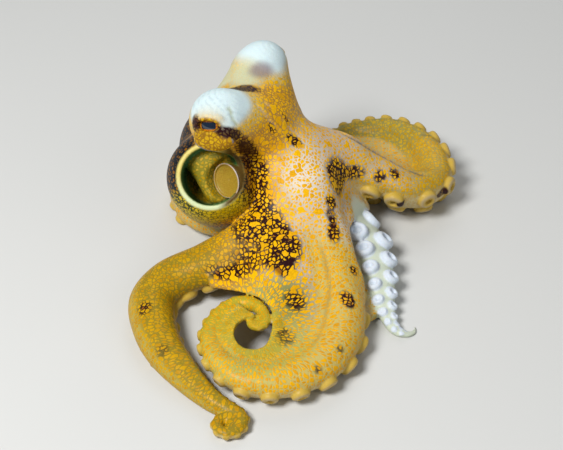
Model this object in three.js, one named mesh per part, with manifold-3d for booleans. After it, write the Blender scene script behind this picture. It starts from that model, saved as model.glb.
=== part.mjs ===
// A small common octopus (Octopus vulgaris) at rest: the head held high on its two eye turrets, the
// bulb of the mantle behind and to the left, and eight arms lying round it. Right and left are the
// animal's own. Millimetres, +Z up. The front right arm rolls into a flat spiral, filled with web.
import * as THREE from 'three';
import { mergeVertices } from 'three/addons/utils/BufferGeometryUtils.js';
import Module from 'manifold-3d';

const wasm = await Module();
wasm.setup();

// Driving dimensions.
const GAP = 0.3;              // clearance between bodies that touch
const CUT_GAP = 0.4;          // the same between two lengths of one arm, wide enough for its tightest bend
const PRESS = 0.4;            // how far a resting arm is flattened where it meets the floor
const BACK_HEIGHT = 0.92;     // arm section above its widest line, as a share of its half width
const BELLY_HEIGHT = 0.72;    // the same on the flatter sucker side
const TIP_RADIUS = 0.6;
const ARM_SIDES = 8;          // of the section; TIP_SIDES where it is under 4 mm in half width
const TIP_SIDES = 6;
const RING_PITCH = 1.5;       // distance between arm rings, in half widths
const RING_TWIST = 22;        // the most that an arm rolls from one ring to the next, in degrees
const CURL_STEP = 30;         // degrees between the points of a curl
const WEB_THICKNESS = 3;
const SUCKER_REACH = 0.62;    // share of an arm that carries suckers large enough to model
const SUCKER_START = 14;      // distance from the crown to the first of them
const SUCKER_PITCH = 0.82;    // distance from one to the next on the other row, in half widths
const EYE_RADIUS = 6.2;
const EYE_PROUD = 0.6;        // how far an eye stands out of its turret

const OCHRE = 0xd99a1c;
const GOLD = 0xc9a13a;
const LILAC = 0xcdbfb8;
const SLATE = 0x3a4152;

const skin = (color) => new THREE.MeshStandardMaterial({ color, roughness: 0.5, metalness: 0 });
const wet = (color) => new THREE.MeshStandardMaterial({ color, roughness: 0.15, metalness: 0 });

// Each arm runs along route, whose points are x, y and the height of its underside above the floor.
// roll turns its back from straight up towards the left of its run, in degrees, at shares of its length.
// A curl goes on from the last point: side 1 turns left, -1 right, its bend radius going from wide to
// tight. cuts are the distances from the root at which one length ends and the next begins, and the
// root itself belongs to the crown as far as the first cut. taper says how late and how fast the arm
// thins. suckers is how large the modelled suckers are against those of the front arms; arms without it
// have none.
const ARMS = {
  arm_right_1: {
    radius: 9.2, taper: [3.5, 2.2], cuts: [18, 52, 86, 114, 142, 163], suckers: 1,
    route: [[9, 28, 23], [14, 17, 14], [17.5, 7, 8], [20, -6, 3], [21.5, -19, 0.4], [20, -31, -PRESS],
      [13.5, -43, -PRESS], [1, -50.5, -PRESS], [-12, -50, 0], [-21, -43, 2.5], [-24.5, -32, 4.5],
      [-21.5, -22.5, 7], [-15.5, -17.8, 9.3], [-9.5, -19.8, 11], [-6.2, -25, 12], [-5.4, -30, 12.6]],
    roll: [[0, 0], [0.25, -20], [0.5, -32], [0.7, -45], [1, -60]],
    curl: { side: -1, turns: 0.85, heading: -98, wide: 3.5, tight: 2, end: 13 },
  },
  arm_right_2: {
    radius: 9, taper: [4, 2.8], cuts: [24, 60, 98, 132], suckers: 1,
    route: [[2, 26, 18], [-12, 12, 11], [-27, 5, 5], [-41, 0, 1], [-47, -9, -PRESS], [-45.5, -22, -PRESS],
      [-41, -34, -PRESS], [-32.5, -46.5, -PRESS], [-23.5, -56.5, -PRESS], [-14, -63.5, -PRESS]],
    roll: [[0, 0], [0.3, -8], [0.6, -18], [1, -60]],
    curl: { side: -1, turns: 0.95, heading: -58, wide: 5.6, tight: 2.4, end: -PRESS },
  },
  arm_right_3: {
    radius: 8.3, cuts: [22, 58, 92],
    route: [[-6, 34, 14], [-19, 36, 3], [-31, 43, 0], [-37.5, 56, -PRESS], [-38, 72, -PRESS],
      [-37, 86, -PRESS], [-33, 99, -PRESS], [-26, 108, -PRESS]],
    roll: [[0, 0], [1, 0]],
    curl: { side: -1, turns: 0.6, heading: 30, wide: 5.5, tight: 2.2, end: -PRESS },
  },
  arm_right_4: {
    radius: 8.3, cuts: [22, 56],
    route: [[-6, 42, 12], [-14, 53, 2], [-20, 66, -PRESS], [-21, 80, -PRESS], [-18, 91, -PRESS]],
    roll: [[0, 0], [1, 0]],
    curl: { side: -1, turns: 0.7, heading: 66, wide: 5.5, tight: 2, end: -PRESS },
  },
  arm_left_1: {
    radius: 9.8, cuts: [26, 55, 84, 112, 138], suckers: 1,
    route: [[4, 42, 30], [20, 49, 24], [36, 49.5, 13], [50, 49.5, 4.5], [60.5, 57, 1.2], [63, 70.5, 1.2],
      [58, 86, 2.2], [46, 97.5, 2.6], [32, 100.5, 1.4]],
    roll: [[0, 0], [0.2, 15], [0.35, 50], [0.5, 80], [0.7, 98], [1, 98]],
    curl: { side: 1, turns: 1.1, heading: 172, wide: 11, tight: 2.2, end: -PRESS },
  },
  arm_left_2: {
    radius: 8, taper: [3, 1.6], cuts: [32, 62], suckers: 1.25,
    route: [[12, 33, 14], [22, 35.5, 5], [31, 27, 0.4], [35, 14, -PRESS], [36.8, 2, -PRESS],
      [37.8, -9, -PRESS], [40, -18, -PRESS]],
    roll: [[0, -20], [0.1, -60], [0.3, -165], [1, -180]],
    curl: { side: 1, turns: 0.6, heading: -70, wide: 6, tight: 2.2, end: -PRESS },
  },
  arm_left_3: {
    radius: 8.3, cuts: [20, 50],
    route: [[8, 46, 13], [17, 58, 3], [29, 62, -PRESS], [41, 64, -PRESS], [47, 71, -PRESS]],
    roll: [[0, 0], [1, 0]],
    curl: { side: 1, turns: 0.55, heading: 75, wide: 8, tight: 2.2, end: -PRESS },
  },
  arm_left_4: {
    radius: 8.3, cuts: [24, 62],
    route: [[0, 46, 13], [5, 60, 3], [7, 74, -PRESS], [6, 88, -PRESS], [3, 101, -PRESS],
      [-3, 111, -PRESS], [-11, 116, -PRESS]],
    roll: [[0, 0], [1, 0]],
    curl: { side: 1, turns: 0.6, heading: 160, wide: 5.5, tight: 2.2, end: -PRESS },
  },
};

// The free edge of the web inside the spiral: from beside arm_right_2, then round the hole in its middle.
const SPIRAL_EDGE = [[-26, -8, 12], [-20, -12, 14], [-14, -15.5, 15.5], [-7, -20, 16], [-3.4, -27, 16],
  [-3.8, -34.5, 13.6], [-6, -39.2, 11.6], [-10.2, -40.6, 10.9], [-14.4, -39.2, 11.6], [-16.4, -35.5, 13.3],
  [-15.3, -31.6, 15]];

// The free edge of the web beside the pale arm, and the line in the crown that the web runs from.
const MARGIN = [[35, 40, 10.5], [28.7, 28, 15.2], [25.6, 18, 17.7], [25, 9, 17.5], [26.5, 2, 15.5],
  [29.5, -4, 12], [29.5, -12, 8]];
const MARGIN_ROOT = [[24, 47, 28], [17, 36, 29], [13, 27, 27], [13, 18, 23.5], [15, 9, 19], [18.5, -1, 15],
  [20, -10, 11]];

const vector = ([x, y, z]) => new THREE.Vector3(x, y, z);

/** Value at x of a run of straight lines through [x, value] pairs. */
function between(pairs, x) {
  const next = Math.max(1, pairs.findIndex(([at], i) => i === pairs.length - 1 || at >= x));
  const [[x0, y0], [x1, y1]] = [pairs[next - 1], pairs[next]];
  return THREE.MathUtils.mapLinear(THREE.MathUtils.clamp(x, x0, x1), x0, x1, y0, y1);
}

/** Points of a flat curl that goes on from start, its bend radius shrinking evenly turn by turn. */
function curlPoints(start, { side, turns, heading, wide, tight, end }) {
  const count = Math.round(turns * 360 / CURL_STEP);
  const halfStep = THREE.MathUtils.degToRad(CURL_STEP) / 2;
  const points = [];
  const at = start.clone();
  let angle = THREE.MathUtils.degToRad(heading);
  for (let i = 0; i < count; i += 1) {
    const chord = 2 * wide * (tight / wide) ** ((i + 0.5) / count) * Math.sin(halfStep);
    angle += side * halfStep;
    at.x += chord * Math.cos(angle);
    at.y += chord * Math.sin(angle);
    at.z = THREE.MathUtils.lerp(start.z, end, (i + 1) / count);
    angle += side * halfStep;
    points.push(at.clone());
  }
  return points;
}

/** One arm as a curve, with the section it has at any distance from its root. */
class Arm {
  constructor({ route, curl, radius, roll, taper = [2.2, 0.9] }) {
    const points = route.map(vector);
    this.curve = new THREE.CatmullRomCurve3(
      [...points, ...curlPoints(points.at(-1), curl)], false, 'centripetal');
    this.curve.arcLengthDivisions = 900;
    this.length = this.curve.getLength();
    this.radius = radius;
    this.roll = roll;
    this.taper = taper;
  }

  /** Half width at a distance along: nearly even at first, then tapering to the tip. */
  halfWidth(distance) {
    const share = Math.min(distance / this.length, 1);
    const [late, fast] = this.taper;
    return (this.radius - TIP_RADIUS) * (1 - share ** late) ** fast + TIP_RADIUS;
  }

  /** Roll in degrees at a distance along. */
  rollAt(distance) {
    return between(this.roll, distance / this.length);
  }

  /** Centre, side and back directions, and half width, at a distance along. */
  section(distance) {
    const share = THREE.MathUtils.clamp(distance / this.length, 0, 1);
    const width = this.halfWidth(distance);
    const roll = THREE.MathUtils.degToRad(this.rollAt(distance));
    const depth = Math.cos(roll) > 0 ? BELLY_HEIGHT : BACK_HEIGHT;
    const along = this.curve.getTangentAt(share);
    const centre = this.curve.getPointAt(share).addScaledVector(along, distance - share * this.length);
    centre.z += width * Math.hypot(Math.sin(roll), depth * Math.cos(roll));
    const left = new THREE.Vector3(0, 0, 1).cross(along).normalize();
    const back = along.clone().cross(left).applyAxisAngle(along, -roll);
    return { centre, along, back, side: along.clone().cross(back), width };
  }

  /** A point of the arm's surface: across from -1 to 1 from side to side, rise on the back side. */
  surface(distance, across, rise, grow = 0) {
    const { centre, back, side, width } = this.section(distance);
    const height = rise > 0 ? BACK_HEIGHT : BELLY_HEIGHT;
    return centre.addScaledVector(side, across * (width + grow))
      .addScaledVector(back, rise * (width * height + grow));
  }
}

const arms = Object.fromEntries(Object.entries(ARMS).map(([name, spec]) => [name, new Arm(spec)]));

/** A manifold solid from a closed three.js geometry. */
function solid(geometry) {
  const bare = geometry.clone();
  bare.deleteAttribute('normal');
  bare.deleteAttribute('uv');
  const merged = mergeVertices(bare, 1e-4);
  const index = merged.index ?? { array: merged.attributes.position.array.map((_, i) => i) };
  return new wasm.Manifold(new wasm.Mesh({
    numProp: 3,
    vertProperties: new Float32Array(merged.attributes.position.array),
    triVerts: new Uint32Array(index.array),
  }));
}

/** The three.js geometry of the largest piece of a manifold solid. */
function geometryOf(shape) {
  const largest = shape.decompose().sort((a, b) => b.volume() - a.volume())[0];
  const mesh = largest.getMesh();
  const geometry = new THREE.BufferGeometry();
  geometry.setAttribute('position', new THREE.BufferAttribute(mesh.vertProperties.slice(), 3));
  geometry.setIndex(Array.from(mesh.triVerts));
  geometry.computeVertexNormals();
  return geometry;
}

const join = (first, ...rest) => rest.reduce((whole, piece) => whole.add(piece), first);
const cut = (first, ...rest) => rest.reduce((whole, piece) => whole.subtract(piece), first);

/** A closed geometry whose every vertex is moved to place(vertex). */
function moulded(geometry, place) {
  const { position } = geometry.attributes;
  const vertex = new THREE.Vector3();
  for (let i = 0; i < position.count; i += 1) {
    vertex.fromBufferAttribute(position, i);
    position.setXYZ(i, ...place(vertex));
  }
  return geometry;
}

/** The stretch of an arm between two distances, grown by a margin, with flat ends. */
function armStretch(arm, from, to, grow = 0) {
  const pitch = RING_PITCH * arm.halfWidth((from + to) / 2);
  const twist = Math.abs(arm.rollAt(to) - arm.rollAt(from));
  const rings = Math.max(2, Math.ceil((to - from) / pitch), Math.ceil(twist / RING_TWIST));
  const sides = arm.halfWidth(from) > 4 ? ARM_SIDES : TIP_SIDES;
  const rod = new THREE.CylinderGeometry(1, 1, 1, sides, rings);
  return solid(moulded(rod, ({ x, y, z }) => {
    const past = Math.abs(y) === 0.5 ? 2 * y * grow : 0;
    return arm.surface(from + (y + 0.5) * (to - from) + past, x, z, grow);
  }));
}

/** Where each length of an arm beyond its root begins and ends. */
function stretches(name) {
  const { cuts } = ARMS[name];
  return cuts.map((from, i) => [from, i < cuts.length - 1 ? cuts[i + 1] - CUT_GAP : arms[name].length]);
}

/** A short cup on the sucker side of an arm, to one side of its middle line, made larger by scale. */
function sucker(arm, distance, side, scale, grow) {
  const { back, along, side: across, width } = arm.section(distance);
  const size = 0.43 * scale * width;
  const cup = new THREE.CylinderGeometry(0.9 * size + grow, size + grow, 2 * (size + grow), 5);
  const outward = across.clone().multiplyScalar(0.5 * side).sub(back).normalize();
  const turn = new THREE.Matrix4().makeBasis(outward.clone().cross(along).normalize(), outward, along);
  return solid(cup.applyMatrix4(turn.setPosition(arm.surface(distance, 0.45 * side, -0.62))));
}

/** A length of an arm, with its two alternating rows of suckers, each wholly on this length. */
function armLength(name, from, to, grow = 0) {
  const arm = arms[name];
  const { suckers, cuts } = ARMS[name];
  const cups = [];
  let side = 1;
  let at = cuts[0] + SUCKER_START;
  while (suckers && at < SUCKER_REACH * arm.length) {
    const room = 0.5 * arm.halfWidth(at);
    if (at > from + room && at < to - room) cups.push(sucker(arm, at, side, suckers, grow));
    side = -side;
    at += SUCKER_PITCH * suckers * arm.halfWidth(at);
  }
  return join(armStretch(arm, from, to, grow), ...cups);
}

/** Every length of every arm, a gap larger: what their neighbours are cut by. */
const armSpaces = () => Object.keys(arms).flatMap((name) => (
  stretches(name).map(([from, to]) => armLength(name, from, to, GAP))));

/** A rounded closed body: rays from a centre end where the smoothly joined parts end. */
function blob(centre, parts, { blend = 3, detail = 4, grow = 0 } = {}) {
  const origin = vector(centre);
  const at = new THREE.Vector3();
  const field = (point) => {
    const weights = parts.map((part) => Math.exp(-part(point) / blend));
    return -blend * Math.log(weights.reduce((sum, weight) => sum + weight));
  };
  return solid(moulded(new THREE.IcosahedronGeometry(1, detail), (ray) => {
    let [near, far] = [0, 80];
    for (let i = 0; i < 24; i += 1) {
      const middle = (near + far) / 2;
      if (field(at.copy(origin).addScaledVector(ray, middle)) < 0) near = middle;
      else far = middle;
    }
    return at.copy(origin).addScaledVector(ray, near + grow);
  }));
}

/** Distance to an ellipsoid, for use as a part of a blob. */
function ball(centre, radii) {
  const middle = vector(centre);
  const size = vector(radii);
  const smallest = Math.min(...radii);
  return (point) => (point.clone().sub(middle).divide(size).length() - 1) * smallest;
}

/** Distance to a rod with round ends of two radii, for use as a part of a blob. */
function rod(from, to, radiusFrom, radiusTo) {
  const line = new THREE.Line3(vector(from), vector(to));
  const foot = new THREE.Vector3();
  return (point) => {
    const share = line.closestPointToPointParameter(point, true);
    return line.at(share, foot).distanceTo(point) - THREE.MathUtils.lerp(radiusFrom, radiusTo, share);
  };
}

/** A sheet of web stretched between two lines of points, one against the other. */
function web(outer, inner) {
  const outerLine = new THREE.CatmullRomCurve3(outer, false, 'centripetal');
  const innerLine = new THREE.CatmullRomCurve3(inner, false, 'centripetal');
  const slab = new THREE.BoxGeometry(1, 1, 1, outer.length, 2, 1);
  const sheet = moulded(slab, ({ x, y, z }) => {
    const point = outerLine.getPoint(x + 0.5).lerp(innerLine.getPoint(x + 0.5), y + 0.5);
    point.z += z * WEB_THICKNESS;
    return point;
  });
  const whole = solid(sheet);
  return whole.volume() > 0 ? whole : solid(flipped(sheet));
}

/** The same geometry with its faces turned the other way. */
function flipped(geometry) {
  const turned = geometry.clone();
  turned.setIndex(Array.from(geometry.index.array).reverse());
  return turned;
}

const ellipsoid = (centre, radii, detail = 2) => solid(
  new THREE.IcosahedronGeometry(1, detail).scale(...radii).translate(...centre));

const floor = solid(new THREE.BoxGeometry(400, 400, 40).translate(0, 0, -20));

const octopus = new THREE.Group();

function add(name, shape, material) {
  const mesh = new THREE.Mesh(geometryOf(cut(shape, floor)), material);
  mesh.name = name;
  octopus.add(mesh);
}

// Eyes: each a ball sunk into its turret, looking out sideways.
const EYES = {
  eye_right: { turret: [-22, 31, 58.3], radius: 11.3, look: [-0.36, -0.86, 0.36] },
  eye_left: { turret: [-7.5, 61, 62.5], radius: 9.5, look: [0.35, 0.92, 0.1] },
};

function eyeBall({ turret, radius, look }, grow = 0) {
  const middle = vector(turret).addScaledVector(vector(look).normalize(), radius + EYE_PROUD - EYE_RADIUS);
  const size = EYE_RADIUS + grow;
  return ellipsoid(middle.toArray(), [size, size, size]);
}

const HEAD_PARTS = [
  rod([-9, 42, 49], EYES.eye_right.turret, 13, 11.3),
  rod([-6, 52, 48], EYES.eye_left.turret, 13, 9.5),
  rod([-13, 48, 52], [-8.5, 59, 59], 11, 9.5),
  ball([-12, 46, 48], [13, 15, 14]),
];
const head = (grow = 0) => blob([-13, 45, 51], HEAD_PARTS, { blend: 2.5, detail: 3, grow });

// The crown joins the arm roots, and carries the web spread between them.
const CROWN_PARTS = [
  ball([4, 37, 27], [19, 17, 18]),
  rod([-6, 42, 42], [6, 28, 24], 11, 14),
  rod([2, 44, 40], [16, 44, 26], 11, 11),
];

/** Places on an arm's centre line, lifted by a share of its half width. */
const ribs = (arm, lift, distances) => distances.map((distance) => {
  const { centre, width } = arm.section(distance);
  return centre.add(new THREE.Vector3(0, 0, lift * width));
});

function crown() {
  const { arm_right_1: right1, arm_right_2: right2, arm_left_2: left2 } = arms;
  const spiralRibs = [
    ...ribs(right2, 0.35, [40, 22, 4]),
    ...ribs(right1, 0.4, [8, 24, 42, 60, 78, 92, 106, 120, 132])];
  const body = join(
    blob([2, 38, 28], CROWN_PARTS, { blend: 3, detail: 3 }),
    web(spiralRibs, SPIRAL_EDGE.map(vector)),
    web(MARGIN.map(vector), MARGIN_ROOT.map(vector)),
    web(ribs(left2, 0, [12, 26, 40, 54, 66]), ribs(right1, 0, [6, 20, 34, 48, 62])),
    ...Object.entries(arms).map(([name, arm]) => armStretch(arm, 0, ARMS[name].cuts[0])));
  return cut(body, head(GAP), mantleBody(GAP), funnel(GAP), ...armSpaces());
}

// The mantle: a bulb cut off square in front by its mouth, a round hollow with the funnel at one side.
const MOUTH = { centre: [-26.1, 30, 33.3], aim: [0, -0.788, 0.616], lip: 12, radius: 10.6, depth: 16 };
const MANTLE_PARTS = [
  ball(MOUTH.centre, [17, 17, 17]),
  ball([-22, 33, 26], [15, 15, 15]),
  ball([-22, 54, 30], [18, 24, 17]),
];

/** A solid whose +Y axis is turned along aim and whose origin is moved to foot. */
function aimed(geometry, foot, aim) {
  const turn = new THREE.Quaternion().setFromUnitVectors(new THREE.Vector3(0, 1, 0), vector(aim).normalize());
  return solid(geometry.applyQuaternion(turn).translate(...foot));
}

/** A rod with one round end, from below foot up to height along aim. */
function plug(foot, aim, radius, height) {
  return aimed(new THREE.CapsuleGeometry(radius, height, 4, 16).translate(0, height / 2, 0), foot, aim);
}

function mantleBody(grow = 0) {
  const lip = MOUTH.lip + grow;
  const front = new THREE.CylinderGeometry(30, 30, 30, 16).translate(0, lip + 15, 0);
  const bulb = blob([-24, 42, 32], MANTLE_PARTS, { blend: 2.5, detail: 3, grow });
  return cut(bulb, aimed(front, MOUTH.centre, MOUTH.aim));
}

const mouthHollow = () => plug(MOUTH.centre, MOUTH.aim, MOUTH.radius, MOUTH.depth);

// The funnel: a short spout with a dished end, standing in a groove in the collar that leads to it.
const SPOUT = { end: [-20.2, 22, 37.6], aim: [-0.68, -0.68, 0.27], length: 14, radius: 6.7 };
const GROOVE = { width: 2, depth: 4 };
const COLLAR = { top: [-30.5, 33.6, 38.8], bottom: [-23.9, 26.4, 29.6], radius: 5.4 };

function funnel(grow = 0) {
  const { end, aim, length, radius } = SPOUT;
  const foot = vector(end).addScaledVector(vector(aim).normalize(), -length).toArray();
  const wide = radius + grow;
  const tall = length + grow;
  const dish = grow > 0 ? [[wide, tall], [0, tall]] : [[radius - 0.9, tall], [radius - 1.6, tall - 1.6],
    [0, tall - 1.6]];
  const profile = [[0, -grow], [wide - 1, -grow], [wide - 0.6, 0.5 * tall], [wide, tall - 0.8], ...dish];
  const spout = new THREE.LatheGeometry(profile.map(([x, y]) => new THREE.Vector2(x, y)), 14);
  const { top, bottom, radius: thick } = COLLAR;
  const run = vector(bottom).sub(vector(top));
  const collar = plug(top, run.toArray(), thick + grow, run.length());
  const ring = new THREE.CylinderGeometry(radius + GROOVE.width, radius + GROOVE.width, 20, 14);
  const hollow = aimed(ring.translate(0, length - GROOVE.depth + 10, 0), foot, aim);
  return join(grow > 0 ? collar : cut(collar, hollow), aimed(spout, foot, aim));
}

add('head', cut(head(), ...Object.values(EYES).map((eye) => eyeBall(eye, GAP))), skin(OCHRE));
for (const [name, eye] of Object.entries(EYES)) add(name, eyeBall(eye), wet(SLATE));
add('crown_web', crown(), skin(OCHRE));
// The skin that closes the loop of arm_left_1, from its near side back to its far side.
const loop = web(
  ribs(arms.arm_left_1, 0.4, [36, 44, 52, 60]), ribs(arms.arm_left_1, 0, [132, 122, 112, 102]));
add('loop_web', cut(loop, ...armSpaces()), skin(OCHRE));
add('funnel', cut(funnel(), head(GAP)), skin(GOLD));
add('mantle', cut(mantleBody(), mouthHollow(), funnel(GAP), head(GAP), ...armSpaces()), skin(OCHRE));

for (const name of Object.keys(arms)) {
  const colour = name === 'arm_left_2' ? LILAC : OCHRE;
  stretches(name).forEach(([from, to], i) => {
    add(`${name}_length_${i + 1}`, armLength(name, from, to), skin(colour));
  });
}

// The middle of the whole underside is the origin.
const middle = new THREE.Box3().setFromObject(octopus).getCenter(new THREE.Vector3());
octopus.position.set(-middle.x, -middle.y, 0);
octopus.updateMatrixWorld(true);

export default octopus;
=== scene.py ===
"""A small common octopus at rest, dressed over its solid model.

One skin covers the head, crown, webs, mantle, funnel and arms. It is worked out as a field of distances:
every part of the body is a closed surface on a grid of two parameters, each becomes a field, and the fields
are joined with a soft fillet where flesh runs into flesh. The suckers grow out of it in the same way. The
eyeballs and the disc of the funnel are pieces of their own. Sizes are in millimetres in the body's own
frame, until a mesh is made of them in metres.
"""
import logging
from dataclasses import dataclass
from enum import Enum
from functools import cached_property

import bpy
import numpy as np
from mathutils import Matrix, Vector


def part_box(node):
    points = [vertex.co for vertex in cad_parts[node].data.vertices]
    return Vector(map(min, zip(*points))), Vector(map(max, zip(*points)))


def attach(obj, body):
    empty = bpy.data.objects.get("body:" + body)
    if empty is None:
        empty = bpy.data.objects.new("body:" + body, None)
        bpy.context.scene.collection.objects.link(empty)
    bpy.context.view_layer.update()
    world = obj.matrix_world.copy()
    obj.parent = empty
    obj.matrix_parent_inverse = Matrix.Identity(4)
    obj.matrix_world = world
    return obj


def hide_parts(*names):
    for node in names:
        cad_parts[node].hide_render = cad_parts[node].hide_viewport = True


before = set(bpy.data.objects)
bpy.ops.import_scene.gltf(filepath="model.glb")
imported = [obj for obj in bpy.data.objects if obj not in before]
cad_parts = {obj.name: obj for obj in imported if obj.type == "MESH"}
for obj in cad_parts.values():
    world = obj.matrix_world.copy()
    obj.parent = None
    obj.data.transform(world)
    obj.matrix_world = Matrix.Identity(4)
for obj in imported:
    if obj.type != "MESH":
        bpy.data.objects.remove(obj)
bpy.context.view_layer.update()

import openvdb as vdb
from mathutils import Vector

logging.basicConfig(level=logging.INFO, format="%(message)s")
log = logging.getLogger("octopus")

MM = 0.001
PRESS = 0.4            # how far a resting arm is flattened against the floor
BACK_HEIGHT = 0.92     # arm section above its widest line, as a share of its half width
BELLY_HEIGHT = 0.72    # the same on the sucker side
TIP_RADIUS = 0.6       # half width of an arm at its tip
CURL_STEP = 30.0       # degrees between the points of a curl
FINE, COARSE = 0.62, 1.4
BAND = 8.0             # distance to either side of a surface that its field holds
MOST_TRIANGLES = 194_000   # in the skin
BLOCK = 8000           # points that are worked out at a time where a table of them would be large
UP = np.array([0.0, 0.0, 1.0])
TURN = 2.0 * np.pi
CAP_WAY = np.array([-0.05, -0.2, 1.0])     # the way the white cap over an eye faces
CAP_RINGS = np.array([0.5, 0.1, 0.8])      # where the fine rings on a cap are centred, in radii of its turret
RING_PITCH = 1.9       # distance from one of those rings to the next
BULB, BULB_RADIUS = (-22, 33, 26), 15      # the swell of the mantle behind its mouth
BULB_BACK, BACK_RADII = (-22, 54, 30), (18, 24, 17)    # the mantle's back
NEAR_NECK, FAR_NECK = (-9, 42, 49), (-6, 52, 48)   # where the stalks of the two turrets start
SPIRAL_OVER = 106.0    # distance along the first right arm from which it lies over its own web
SMOOTH = {"interpolation_type": "SMOOTHSTEP"}      # the setting of a map range that eases at both ends


def unit(vector: np.ndarray) -> np.ndarray:
    """Each vector along the last axis divided by its length."""
    return vector / np.maximum(np.linalg.norm(vector, axis=-1, keepdims=True), 1e-12)


def step(low: float, high: float, value: np.ndarray) -> np.ndarray:
    """A smooth step: three times the share squared, less twice the share cubed.

    Args:
        low: where it starts to rise from 0; it falls instead where low is above high.
        high: where it reaches 1.
        value: what it is worked out for.

    Returns:
        Numbers from 0 to 1.
    """
    share = np.clip((value - low) / (high - low), 0.0, 1.0)
    return share * share * (3.0 - 2.0 * share)


# ---------------------------------------------------------------- shapes


@dataclass
class Surface:
    """A closed surface: its points in millimetres and its faces, which point outwards."""

    points: np.ndarray
    quads: np.ndarray

    @staticmethod
    def from_rings(rings: np.ndarray) -> "Surface":
        """Closes a stack of rings with a point at each end.

        Args:
            rings: points of shape (rings, around, 3).

        Returns:
            The closed surface; the end faces are quads folded to triangles.
        """
        count, around = rings.shape[:2]
        ends = np.stack([rings[0].mean(axis=0), rings[-1].mean(axis=0)])
        points = np.vstack([rings.reshape(-1, 3), ends])
        row = np.arange(count - 1)[:, None] * around
        here = np.arange(around)[None, :]
        there = (here + 1) % around
        sides = np.stack([row + here, row + there, row + around + there, row + around + here], axis=-1)
        first, last = count * around, count * around + 1
        here, there = here[0], there[0]
        start = np.stack([there, here, np.full(around, first), np.full(around, first)], axis=-1)
        top = (count - 1) * around
        end = np.stack([top + here, top + there, np.full(around, last), np.full(around, last)], axis=-1)
        return Surface(points, np.vstack([sides.reshape(-1, 4), start, end]))

    @staticmethod
    def joined(surfaces: list) -> "Surface":
        """Lays several closed surfaces end to end, each one's faces counted on from the last.

        Args:
            surfaces: the surfaces.

        Returns:
            One surface of all of them.
        """
        starts = np.cumsum([0] + [len(each.points) for each in surfaces[:-1]])
        return Surface(np.vstack([each.points for each in surfaces]),
                       np.vstack([each.quads + start for each, start in zip(surfaces, starts)]))

    def outward(self) -> "Surface":
        """Turns the faces out if they point in, which the sign of the volume tells.

        Six times the volume is the sum of the triple products of the corners of the faces' halves.

        Returns:
            The same surface, or one with every face reversed.
        """
        a, b, c = (self.points[self.quads[:, i]] for i in range(3))
        d = self.points[self.quads[:, 3]]
        volume = np.einsum("ij,ij->", np.cross(a, b), c) + np.einsum("ij,ij->", np.cross(a, c), d)
        return self if volume > 0 else Surface(self.points, self.quads[:, ::-1].copy())


def ellipsoid(centre: tuple, radii: tuple, count: int = 48, axes: np.ndarray | None = None) -> Surface:
    """Rings of latitude round the third axis, squeezed to the three radii.

    Args:
        centre: the middle.
        radii: the three radii.
        count: rings from pole to pole.
        axes: rows are the directions of the three radii; x, y and z where it is left out.

    Returns:
        The closed surface.
    """
    polar = np.linspace(0.0, np.pi, count)[1:-1, None]
    round_ = np.linspace(0.0, TURN, 2 * count, endpoint=False)[None, :]
    rings = np.stack(np.broadcast_arrays(
        np.sin(polar) * np.cos(round_), np.sin(polar) * np.sin(round_), np.cos(polar) + 0 * round_), axis=-1)
    rings = rings * np.asarray(radii)
    return Surface.from_rings((rings if axes is None else rings @ axes) + np.asarray(centre)).outward()


def lathe(foot: np.ndarray, aim: np.ndarray, radius: np.ndarray | list, height: np.ndarray | list,
          around: int = 48, beside: tuple = (0.31, 0.17, 0.93)) -> Surface:
    """A profile turned about a line: each ring is foot + height along aim + radius along every spoke.

    Args:
        foot: where the line starts.
        aim: unit direction of the line.
        radius: radius of each ring.
        height: height of each ring along the line.
        around: points in a ring.
        beside: any way that is not the line's; the first spoke is square to both.

    Returns:
        The closed surface.
    """
    side = unit(np.cross(aim, beside))
    angle = np.linspace(0.0, TURN, around, endpoint=False)
    spoke = np.cos(angle)[:, None] * side + np.sin(angle)[:, None] * np.cross(aim, side)
    radius, height = np.asarray(radius, float), np.asarray(height, float)
    rings = foot + height[:, None, None] * aim + radius[:, None, None] * spoke
    return Surface.from_rings(rings).outward()


def taper(start: tuple, end: tuple, start_radius: float, end_radius: float, count: int = 48) -> Surface:
    """A tapering rod with round ends: a quarter circle at each end of its profile, turned about its line.

    Args:
        start: middle of the first ball.
        end: middle of the last ball.
        start_radius: radius of the first ball.
        end_radius: radius of the last ball.
        count: points in a ring.

    Returns:
        The closed surface.
    """
    start, end = np.asarray(start, float), np.asarray(end, float)
    length = np.linalg.norm(end - start)
    turn = np.linspace(0.0, np.pi / 2, 10)
    height = np.concatenate([-start_radius * np.cos(turn), length + end_radius * np.sin(turn)])
    radius = np.concatenate([start_radius * np.sin(turn), end_radius * np.cos(turn)])
    return lathe(start, unit(end - start), radius[1:-1], height[1:-1], count, (0.3, 0.9, 0.1))


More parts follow.
